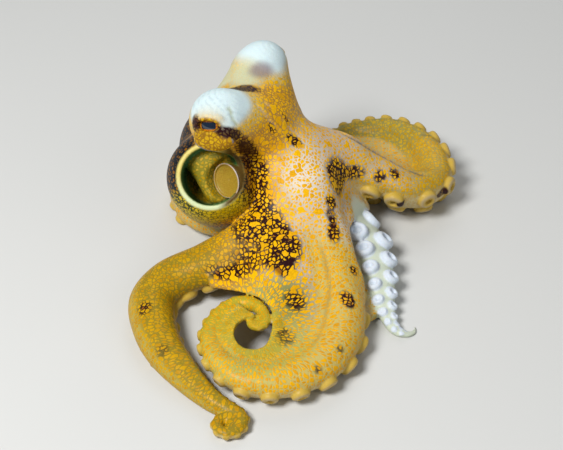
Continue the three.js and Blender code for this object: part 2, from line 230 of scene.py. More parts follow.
def spline(points: np.ndarray, per_span: int = 24) -> np.ndarray:
    """Centripetal Catmull-Rom curve: each span is a cubic whose end slopes come from its neighbours.

    Args:
        points: the points that the curve runs through.
        per_span: points made in each span.

    Returns:
        The points of the curve.
    """
    knots = np.vstack([2 * points[0] - points[1], points, 2 * points[-1] - points[-2]])
    before, start, end, after = knots[:-3], knots[1:-2], knots[2:-1], knots[3:]
    gaps = [np.maximum(np.linalg.norm(b - a, axis=1), 1e-4)[:, None] ** 0.5
            for a, b in ((before, start), (start, end), (end, after))]
    slope_in = ((start - before) / gaps[0] - (end - before) / (gaps[0] + gaps[1])
                + (end - start) / gaps[1]) * gaps[1]
    slope_out = ((end - start) / gaps[1] - (after - start) / (gaps[1] + gaps[2])
                 + (after - end) / gaps[2]) * gaps[1]
    t = np.linspace(0.0, 1.0, per_span, endpoint=False)[None, :, None]
    start, end, slope_in, slope_out = (each[:, None, :] for each in (start, end, slope_in, slope_out))
    curve = (start + slope_in * t + (-3 * start + 3 * end - 2 * slope_in - slope_out) * t ** 2
             + (2 * start - 2 * end + slope_in + slope_out) * t ** 3)
    return np.vstack([curve.reshape(-1, 3), points[-1:]])


def along(curve: np.ndarray) -> np.ndarray:
    """Distance along a curve at each of its points."""
    return np.concatenate([[0.0], np.cumsum(np.linalg.norm(np.diff(curve, axis=0), axis=1))])


def at(distances: np.ndarray, knots: np.ndarray, values: np.ndarray) -> np.ndarray:
    """Straight-line interpolation of rows of values given at knots."""
    return np.stack([np.interp(distances, knots, values[:, i]) for i in range(values.shape[1])], axis=-1)


@dataclass(frozen=True)
class Curl:
    """A flat spiral at the end of an arm, whose bend radius shrinks evenly from wide to tight.

    Attributes:
        side: 1 where it winds to the left, -1 where to the right.
        turns: how often it goes round.
        heading: the way it starts, in degrees from x.
        wide: its first bend radius.
        tight: its last.
        end: height of the arm's underside at its end.
    """

    side: int
    turns: float
    heading: float
    wide: float
    tight: float
    end: float = -PRESS

    def points(self, start: np.ndarray) -> np.ndarray:
        """Points every CURL_STEP degrees: chords of the shrinking circle, laid end to end.

        Args:
            start: the end of the route that the curl goes on from.

        Returns:
            Its points, which rise or sink evenly to the height of its end.
        """
        count = round(self.turns * 360 / CURL_STEP)
        share = (np.arange(count) + 0.5) / count
        chord = 2 * self.wide * (self.tight / self.wide) ** share * np.sin(np.radians(CURL_STEP / 2))
        heading = np.radians(self.heading + self.side * CURL_STEP * (np.arange(count) + 0.5))
        steps = np.stack([chord * np.cos(heading), chord * np.sin(heading)], axis=-1)
        flat = start[:2] + np.cumsum(steps, axis=0)
        height = start[2] + (self.end - start[2]) * (np.arange(count) + 1) / count
        return np.column_stack([flat, height])


class Lies(Enum):
    """How an arm lies: which side shows."""

    BACK_UP = "back up"
    BELLY_UP = "belly up"


@dataclass
class Arm:
    """One arm: a route over the floor, a roll about it, and a section that tapers to the tip.

    Attributes:
        radius: half width at the root.
        route: places it runs through; the third number is the height of its underside.
        roll: shares of its length, and the degrees that its back is turned there from straight up.
        curl: how it ends.
        root: distance along it at which it leaves the crown.
        taper: how late it narrows and how fast, as powers.
        tip: half width at the tip.
        lies: which side shows.
        cups: how large its cups are, and how far apart, against those of the other arms.
    """

    name: str
    radius: float
    route: list
    roll: list
    curl: Curl
    root: float
    taper: tuple = (2.2, 0.9)
    tip: float = TIP_RADIUS
    lies: Lies = Lies.BACK_UP
    cups: float = 1.0

    @cached_property
    def line(self) -> tuple:
        """The curve under the arm: a spline through the route and its curl.

        Returns:
            Its points, and the distance along it at each.
        """
        route = np.array(self.route, float)
        curve = spline(np.vstack([route, self.curl.points(route[-1])]))
        return curve, along(curve)

    @property
    def length(self) -> float:
        """Length of the arm from its root inside the crown to its tip."""
        return float(self.line[1][-1])

    def half_width(self, distance: np.ndarray) -> np.ndarray:
        """One less a power of the share of the length, to a power: nearly even at first, then tapering.

        Args:
            distance: distances from the root.

        Returns:
            The half width at each.
        """
        share = np.clip(np.asarray(distance) / self.length, 0.0, 1.0)
        late, fall = self.taper
        return (self.radius - self.tip) * (1 - share ** late) ** fall + self.tip

    def frames(self, distance: np.ndarray) -> tuple:
        """Centre, run, side and back directions, and half width, at distances along the arm.

        Args:
            distance: distances from the root.

        Returns:
            centre, run, side and back arrays of shape (n, 3), and half widths of shape (n,).
        """
        curve, travel = self.line
        width = self.half_width(distance)
        roll = np.radians(np.interp(distance / self.length, *np.array(self.roll, float).T))
        depth = np.where(np.cos(roll) > 0, BELLY_HEIGHT, BACK_HEIGHT)
        centre = at(distance, travel, curve)
        run = unit(at(distance + 0.6, travel, curve) - at(distance - 0.6, travel, curve))
        centre[:, 2] += width * np.hypot(np.sin(roll), depth * np.cos(roll))
        left = unit(np.cross(UP, run))
        up = np.cross(run, left)
        back = up * np.cos(roll)[:, None] + left * np.sin(roll)[:, None]
        return centre, run, np.cross(run, back), back, width

    def surface(self, start: float = 0.0, end: float | None = None, around: int = 36) -> Surface:
        """The arm's tube: an oval that is flatter on the sucker side, carried along the route.

        Args:
            start: distance from the root to the tube's first ring.
            end: distance to its last, at the tip where it is left out.
            around: points in a ring.

        Returns:
            The closed surface.
        """
        end = self.length - 0.1 if end is None else end
        distance = np.linspace(start, end, int(end - start))
        centre, _, side, back, width = self.frames(distance)
        angle = np.linspace(0.0, TURN, around, endpoint=False)[None, :, None]
        rise = np.sin(angle) * np.where(np.sin(angle) > 0, BACK_HEIGHT, BELLY_HEIGHT)
        rings = centre[:, None] + width[:, None, None] * (
            np.cos(angle) * side[:, None] + rise * back[:, None])
        return Surface.from_rings(rings).outward()


@dataclass
class Web:
    """A sheet of web between two lines of points, one against the other.

    Attributes:
        outer: one line.
        inner: the other line.
        thickness: of the sheet.
        sag: how far it hangs in the middle.
    """

    outer: np.ndarray
    inner: np.ndarray
    thickness: float = 3.0
    sag: float = 0.0

    def surface(self, count: int = 120, across: int = 28) -> Surface:
        """Straight lines from one edge to the other, with a sag between and a thickness up and down.

        The sag is half a sine. The thickness falls to nothing at both edges as a superellipse of the
        eighth power does.

        Args:
            count: points along an edge.
            across: points from one edge to the other.

        Returns:
            The closed surface.
        """
        outer, inner = (spline(edge)[np.linspace(0, 24 * (len(edge) - 1), count).round().astype(int)]
                        for edge in (self.outer, self.inner))
        share = np.linspace(0.0, 1.0, across)[:, None]
        flat = outer[:, None] * (1 - share) + inner[:, None] * share
        flat[..., 2] -= self.sag * np.sin(np.pi * share[None, :, 0])
        half = np.zeros_like(flat)
        half[..., 2] = self.thickness / 2 * np.sqrt(1.02 - (2 * share[:, 0] - 1) ** 8)
        return Surface.from_rings(np.concatenate([flat + half, (flat - half)[:, ::-1]], axis=1)).outward()


# ---------------------------------------------------------------- fields


@dataclass
class Field:
    """A block of distances to a surface, negative inside, on an even grid.

    Attributes:
        low: lowest corner in millimetres.
        pitch: grid pitch.
        values: the distances, never more than BAND.
    """

    low: np.ndarray
    pitch: float
    values: np.ndarray

    @staticmethod
    def empty(low: tuple, high: tuple, pitch: float) -> "Field":
        """A block with nothing in it.

        Args:
            low: its lowest corner.
            high: its highest corner.
            pitch: its grid pitch.

        Returns:
            The block, its corner on a whole number of pitches.
        """
        size = np.ceil((np.asarray(high) - np.asarray(low)) / pitch).astype(int)
        start = np.floor(np.asarray(low) / pitch).astype(int)
        return Field(start * pitch, pitch, np.full(size, BAND, np.float32))

    def like(self) -> "Field":
        """An empty block of the same place and size."""
        return Field(self.low, self.pitch, np.full_like(self.values, BAND))

    def window(self, shape: Surface) -> tuple:
        """The part of the block that a shape's distances reach: its box, a BAND wider each way.

        Args:
            shape: the shape.

        Returns:
            A slice for each axis.
        """
        low = np.floor((shape.points.min(axis=0) - BAND - self.low) / self.pitch).astype(int)
        high = np.ceil((shape.points.max(axis=0) + BAND - self.low) / self.pitch).astype(int)
        return tuple(slice(max(int(a), 0), min(int(b), n)) for a, b, n in zip(low, high, self.values.shape))

    def of(self, shape: Surface, window: tuple) -> np.ndarray:
        """Distances to a closed surface in a window of the block, held to BAND on either side.

        Args:
            shape: the surface.
            window: a slice for each axis.

        Returns:
            The distances, negative inside.
        """
        grid = vdb.FloatGrid.createLevelSetFromPolygons(
            np.ascontiguousarray(shape.points, np.float32),
            quads=np.ascontiguousarray(shape.quads, np.uint32),
            transform=vdb.createLinearTransform(voxelSize=self.pitch), halfWidth=BAND / self.pitch)
        block = np.empty(self.values[window].shape, np.float32)
        start = np.round(self.low / self.pitch).astype(int) + [span.start for span in window]
        grid.copyToArray(block, ijk=tuple(int(n) for n in start))
        return block

    def places(self) -> tuple:
        """The x, y and z of the grid's planes, ready to broadcast."""
        return np.ix_(*(self.low[i] + self.pitch * np.arange(n) for i, n in enumerate(self.values.shape)))

    def join(self, shape: Surface, fillet: float | np.ndarray) -> None:
        """Adds a shape.

        Args:
            shape: the shape.
            fillet: about how wide a fillet it has where it meets what is there, in one number or everywhere.
        """
        part = self.window(shape)
        width = np.broadcast_to(fillet, self.values.shape)[part]
        self.values[part] = soft_least(self.values[part], self.of(shape, part), width)

    def carve(self, shape: Surface, fillet: float) -> None:
        """Takes a shape away, with a softened edge."""
        part = self.window(shape)
        self.values[part] = -soft_least(-self.values[part], self.of(shape, part), fillet)

    def skin(self) -> Surface:
        """The surface of zero distance.

        Returns:
            That surface, as quads.
        """
        grid = vdb.FloatGrid(BAND)
        grid.copyFromArray(self.values, ijk=tuple(int(n) for n in np.round(self.low / self.pitch)))
        grid.transform = vdb.createLinearTransform(voxelSize=self.pitch)
        points, quads = grid.convertToQuads(isovalue=0.0)
        return Surface(points.astype(np.float64), quads.astype(np.int64)).outward()


def soft_least(first: np.ndarray, second: np.ndarray, fillet: float | np.ndarray) -> np.ndarray:
    """The lesser of two fields, less a quarter of the squared overlap over the fillet.

    Args:
        first: one field.
        second: the other.
        fillet: how much they may differ and still be rounded together.

    Returns:
        The joined field.
    """
    overlap = np.maximum(fillet - np.abs(first - second), 0.0)
    overlap *= np.maximum(first, second) < 0.97 * BAND
    return (np.minimum(first, second) - overlap * overlap / (4 * np.maximum(fillet, 1e-6))).astype(np.float32)


# ---------------------------------------------------------------- the octopus


ARMS = [
    Arm("arm_right_1", 9.2,
        [(9, 28, 23), (14, 17, 14), (17.5, 7, 8), (20, -6, 3), (21.5, -19, 0.4), (20, -31, -PRESS),
         (13.5, -43, -PRESS), (1, -50.5, -PRESS), (-12, -50, 0), (-21, -43, 2.5), (-24.5, -32, 4.5),
         (-21.5, -22.5, 7), (-15.5, -17.8, 9.3), (-9.5, -19.8, 11), (-6.2, -25, 12), (-5.4, -30, 12.6)],
        [(0, 0), (0.25, -20), (0.5, -32), (0.7, -45), (1, -60)],
        Curl(-1, 1.4, -98, 3.3, 1.3, 13), 18, (3.5, 2.6), 1.5),
    Arm("arm_right_2", 9.0,
        [(2, 26, 18), (-12, 12, 11), (-27, 5, 5), (-41, 0, 1), (-47, -9, -PRESS), (-45.5, -22, -PRESS),
         (-41, -34, -PRESS), (-32.5, -46.5, -PRESS), (-23.5, -56.5, -PRESS), (-14, -63.5, -PRESS)],
        [(0, 0), (0.3, -8), (0.6, -18), (1, -60)], Curl(-1, 1.3, -58, 5.4, 1.8), 24, (5, 5.5), 2.4),
    Arm("arm_right_3", 8.3,
        [(-6, 34, 14), (-19, 36, 3), (-31, 43, 0), (-37.5, 56, -PRESS), (-38, 72, -PRESS),
         (-37, 86, -PRESS), (-33, 99, -PRESS), (-26, 108, -PRESS)],
        [(0, 0), (1, 0)], Curl(-1, 0.6, 30, 5.5, 2.2), 22),
    Arm("arm_right_4", 8.3,
        [(-6, 42, 12), (-14, 53, 2), (-20, 66, -PRESS), (-21, 80, -PRESS), (-18, 91, -PRESS)],
        [(0, 0), (1, 0)], Curl(-1, 0.7, 66, 5.5, 2), 22),
    Arm("arm_left_1", 9.8,
        [(4, 42, 30), (20, 49, 24), (36, 49.5, 13), (50, 49.5, 4.5), (60.5, 57, 1.2), (63, 70.5, 1.2),
         (58, 86, 2.2), (46, 97.5, 2.6), (32, 100.5, 1.4)],
        [(0, 0), (0.2, 15), (0.35, 50), (0.5, 80), (0.7, 98), (1, 98)],
        Curl(1, 1.1, 172, 11, 2.2), 26),
    Arm("arm_left_2", 8.0,
        [(12, 33, 14), (22, 35.5, 5), (31, 27, 0.4), (35, 14, -PRESS), (36.8, 2, -PRESS),
         (37.8, -9, -PRESS), (40, -18, -PRESS)],
        [(0, -20), (0.1, -60), (0.3, -165), (1, -180)], Curl(1, 0.6, -70, 6, 2.2), 12,
        (3.0, 1.6), lies=Lies.BELLY_UP, cups=1.25),
    Arm("arm_left_3", 8.3,
        [(8, 46, 13), (17, 58, 3), (29, 62, -PRESS), (41, 64, -PRESS), (47, 71, -PRESS)],
        [(0, 0), (1, 0)], Curl(1, 0.55, 75, 8, 2.2), 20),
    Arm("arm_left_4", 8.3,
        [(0, 46, 13), (5, 60, 3), (7, 74, -PRESS), (6, 88, -PRESS), (3, 101, -PRESS),
         (-3, 111, -PRESS), (-11, 116, -PRESS)],
        [(0, 0), (1, 0)], Curl(1, 0.6, 160, 5.5, 2.2), 24),
]
NAMES = [arm.name for arm in ARMS]
RIGHT_1, RIGHT_2, LEFT_1, LEFT_2 = (ARMS[NAMES.index(name)] for name in (
    "arm_right_1", "arm_right_2", "arm_left_1", "arm_left_2"))
SPIRAL_EDGE = [(-26, -8, 12), (-20, -12, 14), (-14, -15.5, 15.5), (-7, -20, 16), (-3.4, -27, 16),
               (-3.8, -34.5, 13.6), (-6, -39.2, 11.6), (-10.2, -40.6, 10.9), (-14.4, -39.2, 11.6),
               (-16.4, -35.5, 13.3), (-15.3, -31.6, 15), (-12.5, -29.8, 15.9), (-9, -29.2, 16.2)]
SPIRAL_HEART = np.array([-10.2, -35.0, 13.5])     # middle of the hole that the spiral winds round
MARGIN = [(35, 40, 10.5), (28.7, 28, 15.2), (25.6, 18, 17.7), (25, 9, 17.5), (26.5, 2, 15.5),
          (29.5, -4, 12), (29.5, -12, 8)]
MARGIN_HEART = np.array([39.0, 15.0, 10.0])       # middle of the bay that the web's margin runs round
MARGIN_ROOT = [(24, 47, 28), (17, 36, 29), (13, 27, 27), (13, 18, 23.5), (15, 9, 19), (18.5, -1, 15),
               (20, -10, 11)]


@dataclass(frozen=True)
class Eye:
    """One eye and the turret it sits in.

    Attributes:
        turret: centre of the turret's ball.
        radius: of that ball.
        look: direction of sight.
        ball: radius of the eyeball.
        proud: how far the eyeball stands out of the turret.
        gap: half length and half height of the opening between the lids.
        slit: half length and half height of the pupil.
        corner: radius of the pupil's corners.
        brow: radii of the swelling over the opening: along it, across it and outwards.
        lid: the same of the lid under it.
    """

    name: str
    turret: tuple
    radius: float
    look: tuple
    ball: float = 6.2
    proud: float = 0.6
    gap: tuple = (3.3, 1.75)
    slit: tuple = (2.8, 1.3)
    corner: float = 0.8
    brow: tuple = (5.2, 1.1, 1.4)
    lid: tuple = (7.8, 3.9, 2.5)

    @property
    def axes(self) -> np.ndarray:
        """The eye's own directions, square to each other.

        Returns:
            Rows: along the slit, across it, and out along the line of sight.
        """
        aim = unit(np.array(self.look, float))
        level = unit(np.cross(UP, aim) + 0.2 * UP)
        level = unit(level - aim * (level @ aim))
        return np.stack([level, np.cross(aim, level), aim])

    @property
    def centre(self) -> np.ndarray:
        """Centre of the eyeball."""
        return np.array(self.turret) + self.axes[2] * (self.radius + self.proud - self.ball)

    def rings(self, away: np.ndarray) -> tuple:
        """Fine rings on the turret's cap: a sine of the distance from the far side of the cap.

        Args:
            away: places from the middle of the turret.

        Returns:
            The sine at each place, and that distance.
        """
        reach = np.linalg.norm(away - self.radius * CAP_RINGS, axis=1)
        return np.sin(TURN * reach / RING_PITCH), reach

    def build(self, dress: bpy.types.Material) -> bpy.types.Object:
        """The eyeball: a ball with rings of points round the line of sight.

        Each point carries its distance from the edge of the slit, a rectangle with round corners that
        is laid on the ball.

        Args:
            dress: the ball's material.

        Returns:
            The ball, which stands for the eye's own node.
        """
        ball = ellipsoid(tuple(self.centre), (self.ball,) * 3, count=90, axes=self.axes)
        piece = mesh_object(self.name, ball)
        away = (ball.points - self.centre) @ self.axes.T
        over = np.abs(away[:, :2]) - (np.array(self.slit) - self.corner)
        edge = np.linalg.norm(np.maximum(over, 0), axis=1) + np.minimum(over.max(axis=1), 0) - self.corner
        put(piece, "slit", np.where(away[:, 2] > 0, edge, self.ball))
        piece.data.materials.append(dress)
        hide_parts(self.name)
        return piece


EYES = [Eye("eye_right", (-22, 31, 58.3), 11.3, (-0.36, -0.86, 0.36)),
        Eye("eye_left", (-7.5, 61, 62.5), 9.5, (0.35, 0.92, 0.1))]


@dataclass(frozen=True)
class Mouth:
    """The round open front of the mantle.

    Attributes:
        centre: middle of the ball that the front is a part of.
        aim: the way the mouth faces.
        ball: radius of that ball.
        lip: from its middle to the plane of the lip.
        radius: of the hollow.
    """

    centre: tuple = (-26.1, 30.0, 33.3)
    aim: tuple = (0.0, -0.788, 0.616)
    ball: float = 17.0
    lip: float = 12.0
    radius: float = 10.7

    @property
    def way(self) -> np.ndarray:
        """Unit direction that the mouth faces."""
        return unit(np.array(self.aim))


@dataclass(frozen=True)
class Funnel:
    """The spout in the mouth of the mantle, and the collar whose groove it stands in.

    Attributes:
        end: middle of the spout's end.
        aim: the way the spout points.
        radius: of the spout.
        length: of the spout.
        groove: width of the round groove.
        groove_depth: how far the groove goes down beside the spout.
        collar: the two ends of the collar.
        collar_radius: its radius.
        collar_back: where it runs into the head.
    """

    end: tuple = (-20.2, 22.0, 37.6)
    aim: tuple = (-0.68, -0.68, 0.27)
    radius: float = 6.7
    length: float = 14.0
    groove: float = 1.9
    groove_depth: float = 4.2
    collar: tuple = ((-30.5, 33.6, 38.8), (-23.9, 26.4, 29.6))
    collar_radius: float = 5.2
    collar_back: tuple = (-19.0, 33.5, 40.0)

    @property
    def way(self) -> np.ndarray:
        """Unit direction that the spout points in."""
        return unit(np.array(self.aim, float))

    def build_disc(self) -> bpy.types.Object:
        """The skin over the spout's end: a round rim and a shallow dish, turned about the spout's line.

        The dish is a parabola, deepest at the middle.

        Returns:
            The disc.
        """
        size, end = self.radius, np.array(self.end)
        turn = np.linspace(np.pi, 0.0, 9)
        dish = np.linspace(0.93, 0.06, 16)
        radius = np.concatenate([[size - 0.8], size - 0.45 + 0.35 * np.cos(turn), dish * (size - 0.8)])
        rise = np.concatenate([[-1.5], 0.1 + 0.35 * np.sin(turn), -0.25 - 0.9 * (1 - dish ** 2)])
        shape = lathe(end, self.way, radius, rise, 72)
        piece = mesh_object("funnel_disc", shape)
        away = shape.points - end
        flat = away - (away @ self.way)[:, None] * self.way
        put(piece, "out", np.linalg.norm(flat, axis=1) / size)
        level = unit(np.cross(UP, self.way))
        put(piece, "pore", np.hypot((flat @ level) / 0.5, (flat @ np.cross(self.way, level)) / 1.2))
        piece.data.materials.append(DiscPaint().material())
        return piece


MOUTH, FUNNEL = Mouth(), Funnel()


def frame_shift() -> np.ndarray:
    """What takes a place from the body's own frame to the solids' frame, in millimetres.

    It is the step, level with the floor, from an eyeball's middle to the middle of the same eye's solid.

    Returns:
        The three numbers to add.
    """
    low, high = (np.array(corner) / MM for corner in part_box("eye_right"))
    return ((low + high) / 2 - EYES[0].centre) * np.array([1.0, 1.0, 0.0])


SHIFT = frame_shift()


def mesh_object(name: str, shape: Surface) -> bpy.types.Object:
    """Makes a smooth Blender object of a surface, in metres in the solids' frame, riding on the body.

    Args:
        name: the object's name.
        shape: the surface in millimetres in the body's own frame.

    Returns:
        The new object, at the origin.
    """
    mesh = bpy.data.meshes.new(name)
    points = ((shape.points + SHIFT) * MM).astype(np.float32)
    folded = shape.quads[:, 2] == shape.quads[:, 3]
    faces = shape.quads[~folded].tolist() + shape.quads[folded, :3].tolist()
    mesh.from_pydata(points.tolist(), [], faces)
    mesh.polygons.foreach_set("use_smooth", np.ones(len(mesh.polygons), bool))
    mesh.update()
    piece = bpy.data.objects.new(name, mesh)
    bpy.context.scene.collection.objects.link(piece)
    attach(piece, "root")
    return piece


def put(piece: bpy.types.Object, name: str, values: np.ndarray) -> None:
    """Stores something for every point of a piece.

    Args:
        piece: the piece.
        name: the name that the piece's material reads; it ends in paint for a colour.
        values: a number, a colour or a place for each point, in the mesh's order.
    """
    values = np.asarray(values, np.float32)
    if values.ndim == 1:
        piece.data.attributes.new(name, "FLOAT", "POINT").data.foreach_set("value", values)
    elif name.endswith("paint"):
        colours = np.column_stack([values, np.ones(len(values), np.float32)])
        piece.data.attributes.new(name, "FLOAT_COLOR", "POINT").data.foreach_set("color", colours.ravel())
    else:
        piece.data.attributes.new(name, "FLOAT_VECTOR", "POINT").data.foreach_set("vector", values.ravel())


# ---------------------------------------------------------------- suckers


@dataclass(frozen=True)
class Suckers:
    """Two alternating rows of cups under an arm.

    Attributes:
        start: distance from the crown to the first cup.
        pitch: distance to the next cup on the other row, in half widths of the arm.
        size: radius of a cup, in half widths.
        spread: how far from the middle line a row runs, in half widths.
        least: radius under which cups are left out.
        depth: how far below the arm's middle they stand, as a share of its belly's height.
        lean: how far they lean out, as a share of how far they point down.
        open_up: width of the hollow in cups that face up, against the widest there is.
        pressed: the same in cups that are pressed down.
    """

    start: float = 12.0
    pitch: float = 0.55
    size: float = 0.44
    spread: float = 0.58
    least: float = 0.75
    depth: float = 0.62
    lean: float = 0.5
    open_up: float = 0.82
    pressed: float = 0.62

    def stations(self, arm: Arm) -> tuple:
        """Places one cup after another, each a share of the arm's half width beyond the last.

        Args:
            arm: the arm.

        Returns:
            The cups' distances along the arm, and the side of each, -1 or 1.
        """
        place, out = arm.root + self.start, []
        while place < arm.length - 1:
            scale = arm.cups * float(arm.half_width(place))
            if self.size * scale <= self.least:
                break
            out.append(place)
            place += self.pitch * scale
        return np.array(out), np.where(np.arange(len(out)) % 2, -1.0, 1.0)

    def seats(self, arm: Arm) -> tuple:
        """Where every cup stands: on the arm's belly, leaning out from its middle line.

        Args:
            arm: the arm.

        Returns:
            The cups' feet, directions and radii.
        """
        distance, side = self.stations(arm)
        centre, _, across, back, width = arm.frames(distance)
        rise = -self.depth * BELLY_HEIGHT
        foot = centre + (width * self.spread * side)[:, None] * across + (width * rise)[:, None] * back
        return foot, unit(self.lean * side[:, None] * across - back), self.size * arm.cups * width

    def cups(self, arm: Arm) -> Surface:
        """Rounded pads that swell from a narrower foot and fall away over the rim.

        Args:
            arm: the arm.

        Returns:
            A profile of radius and height, both times the cup's radius, turned for each cup.
        """
        radius, height = np.array([(0.6, -0.7), (0.82, -0.3), (0.97, 0.1), (1.03, 0.36), (0.98, 0.58),
                                   (0.84, 0.74), (0.6, 0.8)]).T
        return Surface.joined([lathe(foot, way, size * radius, size * height, 20)
                               for foot, way, size in zip(*self.seats(arm))])

    def dishes(self, arm: Arm) -> Surface:
        """The hollows in the tops of the cups, low domes turned upside down; small in cups pressed down.

        Args:
            arm: the arm.

        Returns:
            A profile turned for each cup.
        """
        width = self.open_up if arm.lies is Lies.BELLY_UP else self.pressed
        radius = width * np.array([0.25, 0.5, 0.6, 0.62])
        height = np.array([0.38, 0.46, 0.76, 1.3])
        return Surface.joined([lathe(foot, way, size * radius, size * height, 16)
                               for foot, way, size in zip(*self.seats(arm))])


# ---------------------------------------------------------------- the skin


@dataclass
class Body:
    """The skin of the whole animal, and what is painted on it.

    Attributes:
        low: lowest corner of the block that holds it.
        high: highest corner.
        lumps: the flesh of the crown, head and stalks, each with the fillet that it joins with.
        suckers: the cups of its arms.
        rest: fillet of the flats that it rests on.
        ring_depth: how deep the fine rings on the caps are.
    """

    low: tuple = (-62, -80, -3)
    high: tuple = (78, 126, 78)
    lumps: tuple = (
        (ellipsoid((4, 37, 27), (19, 17, 18)), 4.0),
        (taper((-6, 42, 42), (6, 28, 24), 11, 14), 5.0),
        (taper((2, 44, 40), (16, 44, 26), 11, 11), 5.0),
        (ellipsoid((-12, 46, 48), (13, 15, 14)), 5.0),
        (taper(NEAR_NECK, EYES[0].turret, 13, EYES[0].radius + 0.4), 6.0),
        (taper(FAR_NECK, EYES[1].turret, 13, EYES[1].radius - 0.1), 5.0),
        (taper((-16, 48, 52), (-10.5, 58, 59), 11, 9.5), 6.0))
    suckers: Suckers = Suckers()
    rest: float = 0.6
    ring_depth: float = 0.1

    def __post_init__(self) -> None:
        """Starts with nothing in the block."""
        self.field = Field.empty(self.low, self.high, FINE)

    def join_crown(self) -> None:
        """Head, crown and neck, run into each other."""
        for lump, fillet in self.lumps:
            self.field.join(lump, fillet)

    def join_arms(self) -> None:
        """Every arm but the second left, and the first right only to a little past where it lies over its own
        web, with a wide fillet at the crown that fades to none along it.
        """
        x, y, _ = self.field.places()
        reach = np.hypot(x - 3.0, y - 36.0)
        fillet = 0.3 + 5.2 * step(46.0, 20.0, reach)
        for arm in ARMS:
            if arm is not LEFT_2:
                self.field.join(arm.surface(end=SPIRAL_OVER + 10.0 if arm is RIGHT_1 else None), fillet)
            log.info("%s: %.0f mm long", arm.name, arm.length)

    def join_webs(self) -> None:
        """The web inside the spiral, the one over the neck, and the pale one beside the spiral."""
        def ribs(arm: Arm, lift: float, *distances: float) -> np.ndarray:
            """Places on an arm's line, lifted by a share of its half width."""
            centre, _, _, _, width = arm.frames(np.array(distances, float))
            return centre + lift * UP * width[:, None]

        spiral = Web(np.vstack([ribs(RIGHT_2, 0.35, 40, 22, 4),
                                ribs(RIGHT_1, 0.4, 8, 24, 42, 60, 78, 92, 106, 120, 132, 142, 150)]),
                     np.array(SPIRAL_EDGE, float), sag=0.5)
        neck = Web(np.array(MARGIN, float), np.array(MARGIN_ROOT, float))
        loop = Web(ribs(LEFT_1, 0.4, 33, 41, 49, 58), ribs(LEFT_1, 0.0, 134, 123, 112, 101), sag=5.0)
        beside = Web(ribs(LEFT_2, -0.1, 12, 26, 40, 54, 66), ribs(RIGHT_1, -0.3, 6, 20, 34, 48, 62))
        self.field.join(spiral.surface(), 3.0)
        self.field.join(neck.surface(), 3.5)
        self.field.join(loop.surface(), 2.5)
        self.field.join(RIGHT_1.surface(start=SPIRAL_OVER), 0.4)
        self.field.join(beside.surface(), 0.6)
        self.field.join(LEFT_2.surface(), 0.6)

    def join_mantle(self) -> None:
        """The bulb of the mantle, cut off by its round mouth, with the hollow behind the mouth that the
        funnel stands in.
        """
        bulb = self.field.like()
        bulb.join(ellipsoid(MOUTH.centre, (MOUTH.ball,) * 3), 0.3)
        bulb.join(ellipsoid(BULB, (BULB_RADIUS,) * 3), 6.0)
        bulb.join(ellipsoid(BULB_BACK, BACK_RADII), 7.0)
        centre, aim = np.array(MOUTH.centre), MOUTH.way
        bulb.carve(lathe(centre, aim, [30.0, 30.0], [MOUTH.lip, MOUTH.lip + 25.0]), 1.6)
        hollow = np.radians(np.linspace(8, 90, 10))
        radius = np.append(MOUTH.radius * np.sin(hollow), [MOUTH.radius] * 2)
        height = np.append(-MOUTH.radius * np.cos(hollow), [MOUTH.lip - 1.0, MOUTH.lip + 9.0])
        bulb.carve(lathe(centre, aim, radius, height), 1.2)
        self.field.values = soft_least(self.field.values, bulb.values, 1.2)

    def join_funnel(self) -> None:
        """The collar with its round groove, and the spout standing in it."""
        end, way = np.array(FUNNEL.end), FUNNEL.way
        top, bottom = FUNNEL.collar
        ring = FUNNEL.radius + FUNNEL.groove
        collar = self.field.like()
        collar.join(taper(top, bottom, FUNNEL.collar_radius, FUNNEL.collar_radius), 0.1)
        collar.join(taper(top, FUNNEL.collar_back, FUNNEL.collar_radius, 5.5), 3.0)
        collar.carve(lathe(end, way, [ring - 0.6, ring, ring],
                           [-FUNNEL.groove_depth, 0.6 - FUNNEL.groove_depth, 12]), 0.8)
        self.field.values = soft_least(self.field.values, collar.values, 0.8)
        size, length = FUNNEL.radius, FUNNEL.length
        self.field.join(lathe(end - length * way, way,
                              [size - 1.0, size - 0.7, size - 0.1, size, size - 0.4, size - 0.9],
                              [0, 6, length - 2.5, length - 0.7, length - 0.1, length]), 0.6)
        self.field.carve(lathe(end, way, [size - 1.6, size - 0.9, size - 0.9], [-1.6, -1.1, 4.0]), 0.15)

    def join_lids(self) -> None:
        """A low swelling over each eyeball, opened by a slot with rounded ends; a brow over, a lid under."""
        for eye in EYES:
            level, across, aim = eye.axes
            self.field.join(ellipsoid(tuple(eye.centre), (eye.ball + 0.35,) * 3), 5.0)
            brow = eye.centre + aim * (eye.ball - 0.7) + across * (eye.gap[1] + 1.0)
            lid = eye.centre + aim * (eye.ball - 2.0) - across * 5.7 + level * 1.2
            self.field.join(ellipsoid(tuple(brow), eye.brow, axes=eye.axes), 2.0)
            self.field.join(ellipsoid(tuple(lid), eye.lid, axes=eye.axes), 1.6)
            slot = eye.centre + aim * eye.ball
            self.field.carve(ellipsoid(tuple(slot), (eye.gap[0] + 0.6, eye.gap[1] + 0.3, 3.2),
                                       axes=eye.axes), 0.5)

    def join_suckers(self) -> None:
        """Cups on every arm, and the hollows in them."""
        for arm in ARMS:
            self.field.join(self.suckers.cups(arm), 0.5)
        self.field.carve(Surface.joined([self.suckers.dishes(arm) for arm in ARMS]), 0.35)

